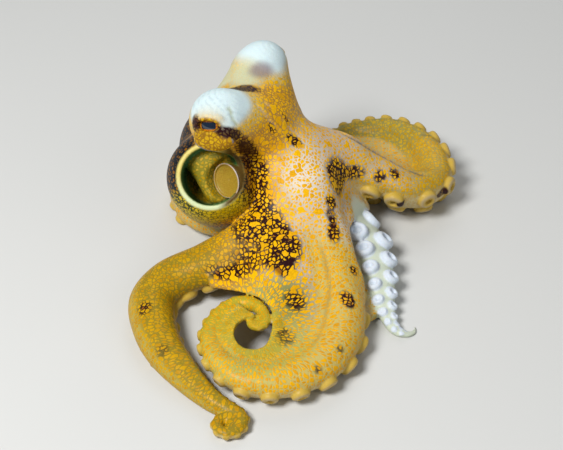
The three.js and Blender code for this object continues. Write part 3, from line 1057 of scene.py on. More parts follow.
    def build(self) -> bpy.types.Object:
        """Joins everything, rests it on the floor, makes the skin and paints it.

        Returns:
            The skin, which stands for every solid but the eyes.
        """
        for work in (self.join_crown, self.join_arms, self.join_webs, self.join_mantle, self.join_funnel,
                     self.join_lids, self.join_suckers):
            work()
        _, _, z = self.field.places()
        floor = np.broadcast_to(z, self.field.values.shape).astype(np.float32)
        self.field.values = -soft_least(-self.field.values, floor, self.rest)
        piece = mesh_object("skin", self.field.skin())
        self.thin(piece)
        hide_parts(*(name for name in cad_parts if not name.startswith("eye")))
        places = np.empty(3 * len(piece.data.vertices), np.float32)
        piece.data.vertices.foreach_get("co", places)
        normals = np.empty_like(places)
        piece.data.vertices.foreach_get("normal", normals)
        places = places.reshape(-1, 3) / MM - SHIFT
        Markings(places).put_on(piece)
        self.press(piece, places, normals.reshape(-1, 3))
        piece.data.materials.append(SkinPaint().material())
        log.info("skin: %d points, %d faces", len(piece.data.vertices), len(piece.data.polygons))
        return piece

    def press(self, piece: bpy.types.Object, places: np.ndarray, normals: np.ndarray) -> None:
        """Moves each point in by the depth of the folds that run over it, and by fine rings on the caps.

        The rings fade out round the edge of a cap.

        Args:
            piece: the skin.
            places: its points.
            normals: the skin's outward direction at each.
        """
        depth = sum(fold.depth * fold.mask(places) for fold in FOLDS)
        for eye in EYES:
            away = places - np.array(eye.turret)
            share = step(1.25, 1.05, np.linalg.norm(away, axis=1) / (eye.radius + 0.4))
            share = share * step(0.55, 0.8, away @ unit(CAP_WAY) / eye.radius)
            depth = depth + self.ring_depth * share * eye.rings(away)[0]
        moved = (places - depth[:, None] * normals + SHIFT) * MM
        piece.data.vertices.foreach_set("co", moved.astype(np.float32).ravel())
        piece.data.update()

    def thin(self, piece: bpy.types.Object) -> None:
        """Merges the flattest faces until the skin has no more than MOST_TRIANGLES.

        Args:
            piece: the skin, all of quads.
        """
        triangles = 2 * len(piece.data.polygons)
        if triangles <= MOST_TRIANGLES:
            return
        thinner = piece.modifiers.new("thinner", "DECIMATE")
        thinner.ratio = MOST_TRIANGLES / triangles
        bpy.context.view_layer.objects.active = piece
        with bpy.context.temp_override(object=piece, active_object=piece):
            bpy.ops.object.modifier_apply(modifier="thinner")
        piece.data.polygons.foreach_set("use_smooth", np.ones(len(piece.data.polygons), bool))


# ---------------------------------------------------------------- what is painted on the skin


def paint(code: str) -> np.ndarray:
    """Linear red, green and blue of an sRGB hex code."""
    value = np.array([int(code[i:i + 2], 16) for i in (1, 3, 5)]) / 255.0
    return np.where(value <= 0.04045, value / 12.92, ((value + 0.055) / 1.055) ** 2.4)


@dataclass(frozen=True)
class Patch:
    """A marking: its middle, how far it reaches, how strong it is, and an optional longer axis.

    A solid one hides the cells, where others only darken the net between them.
    """

    name: str
    middle: tuple
    reach: float
    strength: float = 1.0
    along: tuple = (1.0, 0.0, 0.0)
    longer: float = 1.0
    solid: bool = False

    def mask(self, places: np.ndarray) -> np.ndarray:
        """Its strength inside, falling to nothing at a little over its reach.

        Args:
            places: the points of the skin.

        Returns:
            The strength at each, worked out from the distance with that along the axis divided by longer.
        """
        away = places - np.array(self.middle)
        axis = unit(np.array(self.along, float))
        part = away @ axis
        across = np.linalg.norm(away - part[:, None] * axis, axis=1)
        return self.strength * step(1.5, 0.45, np.hypot(part / self.longer, across) / self.reach)


DARK_PATCHES = [
    Patch("bar before the near eye", (-31.0, 22.5, 62.5), 2.6, 0.9, (0.2, 0.2, 1.0), 1.3, solid=True),
    Patch("bar behind the near eye", (-18.6, 19.8, 60.0), 2.5, 1.0, (1.0, 0.2, -0.5), 2.6, solid=True),
    Patch("wedge below the near eye", (-12.8, 24.6, 50.0), 3.6, 1.0, (0.45, 0.3, -1.0), 2.2, solid=True),
    Patch("lattice, neck", (-9.3, 25.5, 39.5), 4.4, 0.95, (0.3, -0.3, -1.0), 1.8),
    Patch("lattice, shoulder", (-8.6, 18.5, 30.5), 5.2, 0.9, (0.25, -0.8, -0.6), 1.8),
    Patch("lattice, middle", (-4.4, 9.5, 25.8), 6.5, 1.0, (0.5, -0.8, -0.3), 1.4),
    Patch("lattice, foot", (1.0, 0.5, 22.6), 6.6, 1.0, (0.1, -1.0, -0.3), 1.2),
    Patch("lattice, lower edge", (0.2, -6.3, 20.9), 4.2, 0.85, (0.6, -1.0, -0.2), 1.4),
    Patch("lattice, outer", (-12.5, 8.5, 24.0), 6.0, 0.7, (0.6, -1.0, -0.2), 1.5),
    Patch("lattice, towards the second right arm", (-11.5, -3.0, 20.0), 5.0, 0.65, (1.0, -0.4, 0.1), 1.8),
    Patch("bar on the second right arm", (-20.0, -5.5, 16.2), 3.4, 0.75, (1.0, -0.45, 0.2), 2.6),
    Patch("large spot on the web", (21.6, 31.0, 33.0), 7.4, 1.0),
    Patch("its tail", (28.4, 38.6, 29.0), 3.6, 0.7, (0.9, 0.8, -0.4), 1.4),
    Patch("stripe 1", (38.0, 41.6, 25.4), 2.8, 0.8, (0.3, -1.0, 0.4), 1.8),
    Patch("stripe 2", (44.0, 44.6, 24.6), 2.5, 0.75, (0.3, -1.0, 0.4), 1.8),
    Patch("spot 1", (18.2, 19.2, 29.9), 3.0, 0.8),
    Patch("spot 2", (18.6, 14.5, 27.6), 2.8, 0.65),
    Patch("spot 3", (19.2, 8.4, 24.4), 2.8, 0.8, (0.1, -1.0, -0.4), 1.8),
    Patch("spot 4", (26.4, -4.6, 16.4), 2.2, 0.9),
    Patch("spot 5", (23.5, -19.3, 15.5), 2.8, 0.9, (0.4, -1.0, 0.0), 1.5),
    Patch("spot 6", (4.8, -20.5, 16.1), 4.6, 0.75),
    Patch("spot 7", (1.4, -35.8, 13.0), 4.2, 0.55),
    Patch("spot 8", (-48.6, -20.5, 12.5), 3.0, 0.8),
    Patch("spot 9", (-41.3, -39.7, 9.7), 3.2, 0.45),
    Patch("spot 10", (63.8, 49.9, 11.3), 2.1, 1.0, (0.5, 1.0, 0.3), 2.0),
    Patch("spot 11", (47.2, 39.0, 13.9), 1.6, 1.0, (1.0, 0.2, -0.1), 1.9),
    Patch("spot 12", (60.5, 82.0, 15.0), 1.7, 0.8, (1.0, -0.7, 0.0), 2.8),
    Patch("spot 13", (12.3, -50.7, 11.9), 1.9, 0.6),
    Patch("spot 14", (20.0, -42.0, 12.8), 2.0, 0.5),
    Patch("bar between the turrets", (-14.5, 41.0, 66.0), 2.9, 1.0, (1.0, 0.3, -0.5), 2.8, solid=True),
    Patch("line on the brow", (1.0, 37.0, 55.5), 0.9, 0.9, (1.0, -0.6, -1.2), 5.0),
    Patch("oval on the brow", (-3.5, 30.7, 55.0), 1.6, 0.85, (0.9, -0.5, -0.9), 1.8),
    Patch("streak on the neck", (5.0, 33.2, 47.5), 1.9, 0.9, (1.0, 0.0, -0.9), 2.2),
]
SMUDGE = Patch("smudge on the far cap", (-7.5, 51.0, 67.3), 3.2, 0.75, (1.0, 0.2, -0.1), 1.5)
STEEP = unit(np.array([0.0, 0.616, 0.788]))     # up the slope that the mantle's mouth lies in


@dataclass(frozen=True)
class Fold:
    """A line pressed into the skin: the places it runs through, its half width and depth, and the colour
    painted along it, which on the crease beside the spiral and the ridge towards the looped arm is painted
    shade.
    """

    name: str
    places: tuple
    width: float
    depth: float
    code: str
    strength: float = 0.6

    def mask(self, places: np.ndarray) -> np.ndarray:
        """1 on the line, falling to 0 at both sides as the bell curve of distance over width does.

        Args:
            places: the points of the skin.

        Returns:
            The share at each.
        """
        nearest = np.full(len(places), np.inf)
        for start, end in zip(self.places[:-1], self.places[1:]):
            nearest = np.minimum(nearest, to_rod(places, start, end))
        return np.exp(-(nearest / self.width) ** 2)


FOLDS = [
    # a dark gold line painted along it: painted shade in the step between the first right arm and its web
    Fold("crease beside the spiral",
         ((14.0, 6.0, 22.0), (16.0, -2.0, 19.3), (17.2, -10.7, 16.6), (16.6, -18.3, 14.6),
          (14.4, -29.8, 13.0), (10.5, -39.0, 12.8)), 0.8, 0.7, "#8A6A20"),
    Fold("wrinkle down the neck",
         ((-9.0, 33.0, 64.0), (-3.5, 31.5, 57.0), (2.5, 32.0, 50.0), (9.0, 33.0, 43.5)),
         0.5, 0.35, "#D8CBC0"),
    Fold("second wrinkle down the neck",
         ((-6.0, 36.5, 62.5), (0.0, 35.5, 55.0), (6.5, 36.0, 48.0), (12.0, 37.0, 43.0)),
         0.5, 0.3, "#CFC2B8"),
    # a dark blue line painted along it: painted shade where the near band of the looped arm meets the hollow
    # behind it
    Fold("ridge towards the looped arm",
         ((20.0, 53.5, 39.5), (26.2, 51.0, 37.8), (34.0, 51.0, 32.5), (41.5, 51.8, 26.9),
          (50.0, 51.5, 21.8), (55.0, 51.0, 19.5)), 1.1, 1.1, "#2A3648", 0.95),
    Fold("crease in the near cap",
         ((-18.6, 24.5, 68.0), (-17.2, 21.8, 64.8), (-15.6, 21.6, 62.0)), 0.55, 0.45, "#A9A86A"),
]


def to_rod(places: np.ndarray, start: tuple, end: tuple) -> np.ndarray:
    """Distance from a straight line: from each place to its foot on the line, held between the two ends.

    Args:
        places: the places.
        start: one end of the line.
        end: the other end.

    Returns:
        The distance of each place.
    """
    start, end = np.array(start, float), np.array(end, float)
    share = np.clip((places - start) @ (end - start) / ((end - start) @ (end - start)), 0, 1)
    return np.linalg.norm(places - start - share[:, None] * (end - start), axis=1)


def nearest(places: np.ndarray, middles: np.ndarray, sizes: np.ndarray) -> np.ndarray:
    """The nearest of many balls to each place: the least squared distance over squared radius.

    The places go through in blocks, so that the table of distances stays small.

    Args:
        places: the places.
        middles: middles of the balls.
        sizes: their radii.

    Returns:
        The number of the nearest ball, for each place.
    """
    found = np.empty(len(places), int)
    for start in range(0, len(places), BLOCK):
        block = places[start:start + BLOCK].astype(middles.dtype)
        squares = (block ** 2).sum(axis=1)[:, None] - 2 * block @ middles.T + (middles ** 2).sum(axis=1)
        found[start:start + BLOCK] = np.argmin(squares / sizes ** 2, axis=1)
    return found


class Markings:
    """What every point of the skin is: how large its cells are, and what colours it carries.

    The places are in the body's own frame. Arm coordinates say how far along the nearest arm a point
    lies, how far across it, and on which side of it.

    Attributes:
        cell: linear colour of the cells.
        net: linear colour of the net between them.
        big: how many of the small cells are joined to large ones, from 0 to 1.
        plain: how far the cells are hidden.
        gap: half width of the net, in millimetres.
    """

    def __init__(self, places: np.ndarray) -> None:
        """Starts with plain gold cells on a tan net, and finds the arms.

        Args:
            places: the points of the skin.
        """
        self.places = places
        self.cell = np.tile(paint("#E0A404"), (len(places), 1))
        self.net = np.tile(paint("#B8A868"), (len(places), 1))
        self.big, self.plain = np.zeros(len(places)), np.zeros(len(places))
        self.gap = np.full(len(places), 0.17)
        self.find_arms()

    def find_arms(self) -> None:
        """The nearest arm to each point, by distance over the arm's half width, and where on it."""
        rows = []
        for number, arm in enumerate(ARMS):
            distance = np.arange(1.0, arm.length, 2.0)
            centre, run, side, back, width = arm.frames(distance)
            which = np.full(len(width), number)
            rows.append(np.column_stack([centre, run, side, back, width, distance, which]))
        table = np.vstack(rows).astype(np.float32)
        found = table[nearest(self.places, table[:, :3], table[:, 12])]
        away = self.places - found[:, :3]
        run, side, back, half_width = found[:, 3:6], found[:, 6:9], found[:, 9:12], found[:, 12]
        ahead = (away * run).sum(axis=1)
        self.arm = found[:, 14].astype(int)
        self.distance = found[:, 13] + ahead
        self.across = (away * side).sum(axis=1) / half_width
        self.rise = (away * back).sum(axis=1) / half_width
        self.off = np.linalg.norm(away - ahead[:, None] * run, axis=1) / half_width

    def on(self, *arms: Arm) -> np.ndarray:
        """1 on the given arms beyond their roots, falling to 0 away from them.

        Args:
            arms: the arms.

        Returns:
            The share at each point.
        """
        mine = np.isin(self.arm, [NAMES.index(arm.name) for arm in arms])
        root = np.array([arm.root for arm in ARMS])[self.arm]
        return mine * step(1.45, 1.1, self.off) * step(root - 8, root + 10, self.distance)

    def beside(self, arm: Arm, reach: float) -> np.ndarray:
        """1 where an arm is the nearest one, falling to 0 at reach half widths from its middle line."""
        return (self.arm == NAMES.index(arm.name)) * step(reach, 1.1, self.off)

    def ball(self, middle: tuple, reach: float, soft: float) -> np.ndarray:
        """1 within reach of a place, falling to 0 just outside.

        Args:
            middle: the place.
            reach: how far it reaches.
            soft: share of the reach over which it falls, to either side.

        Returns:
            The share at each point.
        """
        away = np.linalg.norm(self.places - np.array(middle), axis=1) / reach
        return step(1 + soft, 1 - soft, away)

    def tint(self, mask: np.ndarray, cell: str = "", net: str = "") -> None:
        """Mixes colours in: the old one times what the mask leaves, and the new one times the mask.

        Args:
            mask: the share of the new colour at each point.
            cell: hex code for the cells, if they change.
            net: hex code for the net, if it changes.
        """
        mask = np.clip(mask, 0.0, 1.0)[:, None]
        if cell:
            self.cell = self.cell * (1 - mask) + paint(cell) * mask
        if net:
            self.net = self.net * (1 - mask) + paint(net) * mask

    def hide_cells(self, mask: np.ndarray) -> None:
        """Hides the cells by a mask, where they are not hidden more already."""
        self.plain = np.maximum(self.plain, mask)

    def colour_arms(self) -> None:
        """Small orange cells on the arms, and their pale undersides."""
        spiral, bent, looped = self.on(RIGHT_1), self.on(RIGHT_2), self.on(LEFT_1)
        self.tint(spiral, cell="#E2A602", net="#C2AE62")
        self.tint(bent, cell="#C29402", net="#8E7A1E")
        self.tint(bent * step(0.25, 0.7, self.across) * step(58, 70, self.distance), net="#AC9A48")
        self.tint(looped, cell="#D2A204", net="#A8944A")
        self.tint(looped * step(88, 104, self.distance), cell="#BC9A24", net="#8C8648")
        self.gap -= 0.05 * (looped + bent) + 0.03 * spiral
        under = step(-0.2, -0.5, self.rise) * self.on(*ARMS)
        self.tint(under, cell="#C99C34", net="#C9B988")
        self.hide_cells(0.6 * under)
        x, _, z = self.places.T
        pale = np.maximum(step(0.25, -0.1, self.rise), step(28, 31, x) * step(16, 12, z))
        pale = pale * self.beside(LEFT_2, 1.2)
        self.tint(pale, net="#C4CCB8")
        self.hide_cells(pale)

    def colour_crown(self) -> None:
        """Large golden cells over the head and the web, on a net that is nearly white in the middle."""
        x, y, z = self.places.T
        crown = (1 - self.on(*ARMS)) * step(8, 16, z)
        for arm, end in ((LEFT_1, 62), (RIGHT_2, 44), (RIGHT_1, 30)):
            fading = step(end, end - 25, self.distance) * step(-0.3, 0.2, self.rise)
            crown = np.maximum(crown, 0.8 * self.on(arm) * fading)
        pale = step(-2, 12, x + 0.25 * (30 - y))
        self.big = 0.9 * crown
        self.gap += crown * (0.13 - self.gap) + 0.03 * crown * pale
        self.tint(crown, cell="#F2B800")
        self.tint(crown * (1 - pale), net="#AF8034")
        self.tint(crown * pale, net="#C4B4A2")
        self.tint(0.9 * self.ball((8, 26, 37), 9, 0.9), net="#E8DED0")
        self.tint(0.8 * self.ball((25, 16, 22), 9, 0.8), net="#DDD3C6")

    def colour_spiral(self) -> None:
        """Greenish gold round the hole of the spiral and on the rolled tip in it."""
        x, y, z = self.places.T
        reach = np.hypot(x - SPIRAL_HEART[0], y - SPIRAL_HEART[1])
        self.tint(0.8 * step(27, 16, reach) * step(4, 9, z), net="#A8A650")
        self.tint(self.ball((2.0, -19.0, 16.0), 9, 0.7), net="#8C8A4C")
        ring = step(12.4, 11.4, reach) * step(8, 10, z) * (self.off > 1.15)
        self.tint(0.9 * ring, net="#A89C36")
        self.tint(0.8 * ring, cell="#C9A428")
        self.tint(self.beside(RIGHT_1, 1.3) * step(118, 140, self.distance), cell="#D9A616", net="#AEA02C")

    def colour_mantle(self) -> None:
        """Dark blue and brown outside with flecks of orange, gold below and within with green painted shade
        on the side wall of the hollow, a pale lip.
        """
        x, _, z = self.places.T
        away = self.places - np.array(MOUTH.centre)
        depth, steep = away @ MOUTH.way, away @ STEEP
        radius = np.linalg.norm(away - depth[:, None] * MOUTH.way, axis=1)
        front = np.linalg.norm(away, axis=1) - MOUTH.ball
        swell = np.linalg.norm(self.places - np.array(BULB), axis=1) - BULB_RADIUS
        back = (np.linalg.norm((self.places - np.array(BULB_BACK)) / BACK_RADII, axis=1) - 1) * BACK_RADII[2]
        head = np.minimum(to_rod(self.places, NEAR_NECK, EYES[0].turret),
                          to_rod(self.places, FAR_NECK, EYES[1].turret))
        outer = step(2.2, 0.6, np.minimum(np.minimum(front, swell), back))
        outer = outer * step(12.6, 14.2, head) * step(-9, -13, x) * (1 - self.on(*ARMS))
        self.tint(outer, cell="#8A5C12", net="#0A161E")
        self.big *= 1 - outer
        low = outer * step(-3, -10, steep) * step(-12, -3, depth)
        self.tint(low, cell="#CDB320", net="#33401C")
        self.plain *= 1 - low
        self.gap += 0.12 * outer * step(-22, -34, x) * step(22, 32, z) - 0.09 * low
        lip = step(13.0, 12.2, radius) * step(8.6, 10.2, depth)
        self.tint(lip, net="#D6C56E")
        self.tint(lip * step(2, -9, steep), net="#D2DCAE")
        self.tint(lip * step(2, 7, away[:, 0]), net="#5A4418")
        self.hide_cells(lip)
        inside = step(11.2, 10.8, radius) * step(11.8, 10.6, depth) * step(-18, -14, depth)
        self.tint(inside, cell="#C4A02E", net="#8E8228")
        # green painted shade: the dark of the hollow, painted on its side wall
        self.tint(inside * step(9.2, 10.2, radius), cell="#4E6A38", net="#4C7A4A")
        self.big *= 1 - inside

    def colour_turrets(self) -> None:
        """White caps over the eyes with a smudge on the far one, painted shade in the grooves of the near
        cap's rings, and the bare skin behind them.
        """
        for eye, low, high in ((EYES[0], 3.4, 6.6), (EYES[1], -1.0, 5.0)):
            away = self.places - np.array(eye.turret)
            above, reach = away @ unit(CAP_WAY), np.linalg.norm(away, axis=1)
            near = step(1.28, 1.02, reach / (eye.radius + 0.4))
            cap = near * step(low, high, above)
            self.tint(cap, cell="#D2DAD8", net="#D0E2E4")
            self.hide_cells(cap)
            pale = (1 - cap) * step(1.7, 1.2, reach / eye.radius) * step(low - 7, high, above)
            self.tint(0.8 * pale, net="#D8CC8C")
            self.tint(0.7 * pale, cell="#E4BC3A")
            self.big *= 1 - near
            if eye is EYES[0]:
                # grey-blue painted shade in the grooves of the near cap's fine rings, where press sinks the
                # skin
                wave, reach = eye.rings(away)
                self.tint(0.3 * cap * step(0.5, 1.0, wave) * step(5.0, 9.0, reach), net="#8FA6B0")
        x, y, z = self.places.T
        flank = step(-6.5, -11.5, x - 0.3 * (y - 52)) * step(45, 49, y) * step(50, 56, z) * step(70, 63, z)
        flank = np.maximum(flank, self.ball((-13.5, 49.5, 64.5), 7, 0.5))
        self.tint(flank, net="#BFC09C")
        self.hide_cells(0.9 * flank)
        self.tint(SMUDGE.mask(self.places), cell="#7E6C74", net="#7E6C74")

    def colour_lids(self) -> None:
        """Gold lids round the near eye, with a lilac line under the lower one."""
        eye = EYES[0]
        level, across, out = ((self.places - eye.centre) @ eye.axes.T).T
        front = step(0.0, 2.0, out)
        ring = step(1.45, 1.1, np.hypot(level / (eye.gap[0] + 0.8), across / (eye.gap[1] + 0.8)))
        oval = np.hypot((level - 1.0) / eye.lid[0], (across + 5.3 + 0.12 * level) / eye.lid[1])
        lids = front * np.maximum(ring, step(1.06, 0.98, oval) * step(0.0, -1.5, across))
        self.tint(lids, cell="#C49A08", net="#8E6410")
        self.big *= 1 - lids
        rim = front * step(0.96, 1.02, oval) * step(1.25, 1.18, oval) * step(-4.0, -6.0, across)
        self.tint(0.9 * rim, net="#7C86A8")
        self.plain = np.maximum(self.plain * (1 - lids), rim)

    def colour_suckers(self) -> None:
        """Suckers: yellow-grey with a lilac rim, and pearl white on the arm that lies belly up."""
        sets = [Suckers().seats(arm) for arm in ARMS]
        foot, way, size = (np.concatenate([each[i] for each in sets]) for i in range(3))
        white = np.repeat([arm.lies is Lies.BELLY_UP for arm in ARMS], [len(each[2]) for each in sets])
        found = nearest(self.places, foot + (0.5 * size)[:, None] * way, size)
        away, way, size, white = self.places - foot[found], way[found], size[found], white[found]
        height = (away * way).sum(axis=1)
        radius = np.linalg.norm(away - height[:, None] * way, axis=1) / size
        height = height / size
        cup = step(1.2, 1.05, radius) * step(-0.1, 0.15, height) * step(1.15, 1.0, height)
        rim = cup * step(0.5, 0.8, height) * step(0.5, 0.75, radius)
        self.tint(0.9 * cup * ~white, net="#C2A03A")
        self.tint(0.7 * rim * ~white, net="#A99C86")
        self.tint(cup * white, net="#CFD8E2")
        self.hide_cells(cup)

    def drawn_in(self, out: np.ndarray, heart: np.ndarray, reach: tuple, least: float) -> np.ndarray:
        """Places drawn together round a heart, so that cells there are smaller and longer outwards.

        The distance from the heart over the ground grows as its own power, least at the near reach and 1
        beyond the far one.

        Args:
            out: the places so far.
            heart: the heart.
            reach: the near and the far reach.
            least: the power nearer than the near reach.

        Returns:
            The places, moved level with the ground.
        """
        away = np.linalg.norm(self.places[:, :2] - heart[:2], axis=1)
        knots = np.linspace(2.0, reach[1] + 10.0, 300)
        slope = (least + (1 - least) * step(*reach, knots)) / knots
        logs = np.concatenate([[0.0], np.cumsum((slope[1:] + slope[:-1]) / 2 * np.diff(knots))])
        scale = np.exp(logs - logs[-1]) * knots[-1] / knots
        moved = out.copy()
        moved[:, :2] = heart[:2] + (out[:, :2] - heart[:2]) * np.interp(away, knots, scale)[:, None]
        return moved

    def pattern(self) -> np.ndarray:
        """Coordinates that the cells are laid out in: drawn in at the spiral's heart and the web's margin."""
        out = self.drawn_in(self.places, SPIRAL_HEART, (24.0, 44.0), 0.45)
        return self.drawn_in(out, MARGIN_HEART, (12.0, 24.0), 0.4)

    def put_on(self, piece: bpy.types.Object) -> None:
        """Works out every marking and stores it on the skin.

        Args:
            piece: the skin, whose points are in the order of the places.
        """
        for colour in (self.colour_arms, self.colour_crown, self.colour_spiral, self.colour_mantle,
                       self.colour_turrets, self.colour_lids, self.colour_suckers):
            colour()
        light = np.ones(len(self.places))
        for patch in DARK_PATCHES:
            mask = patch.mask(self.places)
            light *= 1 - mask
            if patch.solid:
                self.hide_cells(0.9 * mask)
        # each fold's colour is painted along its line over the net, hiding the cells; on the crease beside
        # the spiral and the ridge towards the looped arm it is painted shade
        for fold in FOLDS:
            mask = fold.strength * fold.mask(self.places)
            self.tint(mask, net=fold.code)
            self.hide_cells(mask)
        for name, values in {"cell_paint": self.cell, "net_paint": self.net, "pattern": self.pattern(),
                             "big": self.big, "plain": self.plain, "dark": 1 - light,
                             "gap": self.gap}.items():
            put(piece, name, values)


# ---------------------------------------------------------------- finishes


class Nodes:
    """A material's node tree, with one helper that adds a node."""

    def __init__(self, name: str) -> None:
        """Starts a material with nothing linked to its shader.

        Args:
            name: the material's name.
        """
        self.material = bpy.data.materials.new(name)
        self.material.use_nodes = True
        self.tree = self.material.node_tree
        self.shader = self.tree.nodes["Principled BSDF"]

    def feed(self, node: bpy.types.Node, inputs: dict) -> None:
        """Gives the inputs of a node what they are to have.

        Args:
            node: the node.
            inputs: for each input, a value or an output of another node.
        """
        for name, value in inputs.items():
            if isinstance(value, bpy.types.NodeSocket):
                self.tree.links.new(value, node.inputs[name])
            else:
                node.inputs[name].default_value = value

    def add(self, kind: str, inputs: dict, output: int | str = 0, **settings: object) -> bpy.types.NodeSocket:
        """Adds a node.

        Args:
            kind: the node's type, without the ShaderNode in front.
            inputs: for each input, a value or an output of another node.
            output: which of its outputs is wanted.
            settings: the node's own settings.

        Returns:
            That output.
        """
        node = self.tree.nodes.new("ShaderNode" + kind)
        for name, value in settings.items():
            setattr(node, name, value)
        self.feed(node, inputs)
        return node.outputs[output]


def four(code: str) -> tuple:
    """A hex colour as four linear numbers."""
    return (*paint(code), 1.0)


@dataclass(frozen=True)
class SkinPaint:
    """Wet living skin of an octopus: opaque pigment cells over a pale, slightly translucent net.

    Small round cells lie in a net. Where the skin is marked big, a wider set of regions joins the small
    cells whose middles it holds into one lobed cell, with only a faint line left between them. The skin
    is soft and damp, which gives the eye a dull sheen with a thin wet coat, and a little light in the flesh.

    Attributes:
        small: millimetres from one small cell to the next.
        large: millimetres from one wide region to the next.
        grain: width of the finest mottle, in millimetres.
        blotch: width of the mottle that frays a marking's outline, in millimetres.
        drift: width of the noise that pushes the cells' places about, in millimetres.
        wander: how far it pushes them, in millimetres.
        edge: half the width of a cell's soft edge, in millimetres.
        ragged: how uneven that edge is.
        dark_gap: how much wider the net is in a dark marking.
        relief: height of the cells and the mottle, in metres.
    """

    small: float = 1.5
    large: float = 3.8
    grain: float = 0.4
    blotch: float = 20 / 7
    drift: float = 20 / 11
    wander: float = 1.3
    edge: float = 0.07
    ragged: float = 0.18
    dark_gap: float = 0.05
    relief: float = 0.00025

    def group(self, make: Nodes, middle: bpy.types.NodeSocket) -> tuple:
        """The wide region that a small cell's middle lies in, and whether it joins that cell.

        Each region joins the cells within a reach of its own.

        Args:
            make: the node tree.
            middle: the middle of the small cell.

        Returns:
            The region's number, and 1 where it joins the cell.
        """
        away = make.add("TexVoronoi", {"Vector": middle, "Scale": 1.0 / self.large}, feature="F1")
        number = make.add("SeparateColor", {"Color": away.node.outputs["Color"]})
        reach = make.add("Math", {0: number.node.outputs[1], 1: 0.34, 2: 0.32}, operation="MULTIPLY_ADD")
        big = make.add("Attribute", {}, "Fac", attribute_name="big")
        reach = make.add("Math", {0: reach, 1: big}, operation="MULTIPLY")
        return number, make.add("Math", {0: reach, 1: away}, operation="GREATER_THAN")

    def cells(self, make: Nodes, place: bpy.types.NodeSocket) -> tuple:
        """The cells, by half the difference between the distances to the two nearest middles.

        That difference rounds the corners of the cells. Two small cells of one region have no edge
        between them.

        Args:
            make: the node tree.
            place: where the skin's points lie in the pattern.

        Returns:
            How far inside a cell a point lies and how far from a small cell's edge, both in millimetres,
            and the cell's number.
        """
        near, following = (
            make.add("TexVoronoi", {"Vector": place, "Scale": 1.0 / self.small, "Randomness": 0.8},
                     feature=feature) for feature in ("F1", "F2"))
        away = make.add("Math", {0: following, 1: near}, operation="SUBTRACT")
        away = make.add("Math", {0: away, 1: 0.5 * self.small}, operation="MULTIPLY")
        mine, joined = self.group(make, near.node.outputs["Position"])
        other, also = self.group(make, following.node.outputs["Position"])
        both = make.add("Math", {0: joined, 1: also}, operation="MULTIPLY")
        same = make.add("Math", {0: mine, 1: other, 2: 0.0001}, operation="COMPARE")
        inside = make.add("Math", {0: both, 1: same, 2: away}, operation="MULTIPLY_ADD")
        alone = make.add("SeparateColor", {"Color": near.node.outputs["Color"]})
        luck = make.add("Mix", {"Factor": joined, 2: alone, 3: mine}, data_type="FLOAT")
        return inside, away, luck

    def pushed(self, make: Nodes) -> bpy.types.NodeSocket:
        """The pattern's own coordinates, pushed about by a slow noise so that no row of cells runs straight.

        Args:
            make: the node tree.

        Returns:
            The coordinates.
        """
        place = make.add("Attribute", {}, "Vector", attribute_name="pattern")
        noise = make.add("TexNoise", {"Vector": place, "Scale": 1 / self.drift, "Detail": 2.0}, "Color")
        shift = make.add("VectorMath", {0: noise, 1: (0.5, 0.5, 0.5)}, operation="SUBTRACT")
        shift = make.add("VectorMath", {0: shift, "Scale": self.wander}, operation="SCALE")
        return make.add("VectorMath", {0: place, 1: shift}, operation="ADD")

    def material(self) -> bpy.types.Material:
        """Lays the cells over the net, darkens both in the markings and mottles them.

        Returns:
            The material.
        """
        make = Nodes("octopus_skin")
        plain, gap, dark = (make.add("Attribute", {}, "Fac", attribute_name=name)
                            for name in ("plain", "gap", "dark"))
        tone, net = (make.add("Attribute", {}, "Color", attribute_name=name)
                     for name in ("cell_paint", "net_paint"))
        place = self.pushed(make)
        grain = make.add("TexNoise", {"Vector": place, "Scale": 1 / self.grain, "Detail": 2.0})
        coarse = make.add("TexNoise", {"Vector": place, "Scale": 1 / self.blotch, "Detail": 2.0})
        inside, edge, luck = self.cells(make, place)

        # a marking is strongest in its middle, and its outline strays with the coarse noise
        stray = make.add("Math", {0: coarse, 1: 1.2, 2: 0.4}, operation="MULTIPLY_ADD")
        dark = make.add("Math", {0: dark, 1: stray}, operation="MULTIPLY")
        dark = make.add("MapRange", {"Value": dark, "From Min": 0.12, "From Max": 0.75}, **SMOOTH)

        # 1 in a cell and 0 in the net, with a ragged edge
        gap = make.add("Math", {0: dark, 1: self.dark_gap, 2: gap}, operation="MULTIPLY_ADD")
        deep = make.add("Math", {0: inside, 1: gap}, operation="SUBTRACT")
        deep = make.add("Math", {0: grain, 1: self.ragged, 2: deep}, operation="MULTIPLY_ADD")
        cell = make.add("MapRange", {"Value": deep, "From Min": self.ragged / 2 - self.edge,
                                     "From Max": self.ragged / 2 + self.edge}, **SMOOTH)
        shown = make.add("Math", {0: 1.0, 1: plain}, operation="SUBTRACT")
        cell = make.add("Math", {0: cell, 1: shown}, operation="MULTIPLY")

        # no two cells have quite one colour, and a few of those in a marking are brown
        redder = make.add("HueSaturation", {"Hue": 0.492, "Saturation": 1.05, "Value": 0.84, "Color": tone})
        share = make.add("MapRange", {"Value": luck, "From Min": 0.2, "From Max": 1.0}, **SMOOTH)
        tone = make.add("Mix", {"Factor": share, 6: tone, 7: redder}, 2, data_type="RGBA")
        brown = make.add("MapRange", {"Value": luck, "From Min": 0.0, "From Max": 0.22, "To Min": 1.0,
                                      "To Max": 0.0}, **SMOOTH)
        brown = make.add("Math", {0: dark, 1: brown}, operation="MULTIPLY")
        tone = make.add("Mix", {"Factor": brown, 6: tone, 7: four("#8A5008")}, 2, data_type="RGBA")
        net = make.add("Mix", {"Factor": dark, 6: net, 7: four("#280A0E")}, 2, data_type="RGBA")

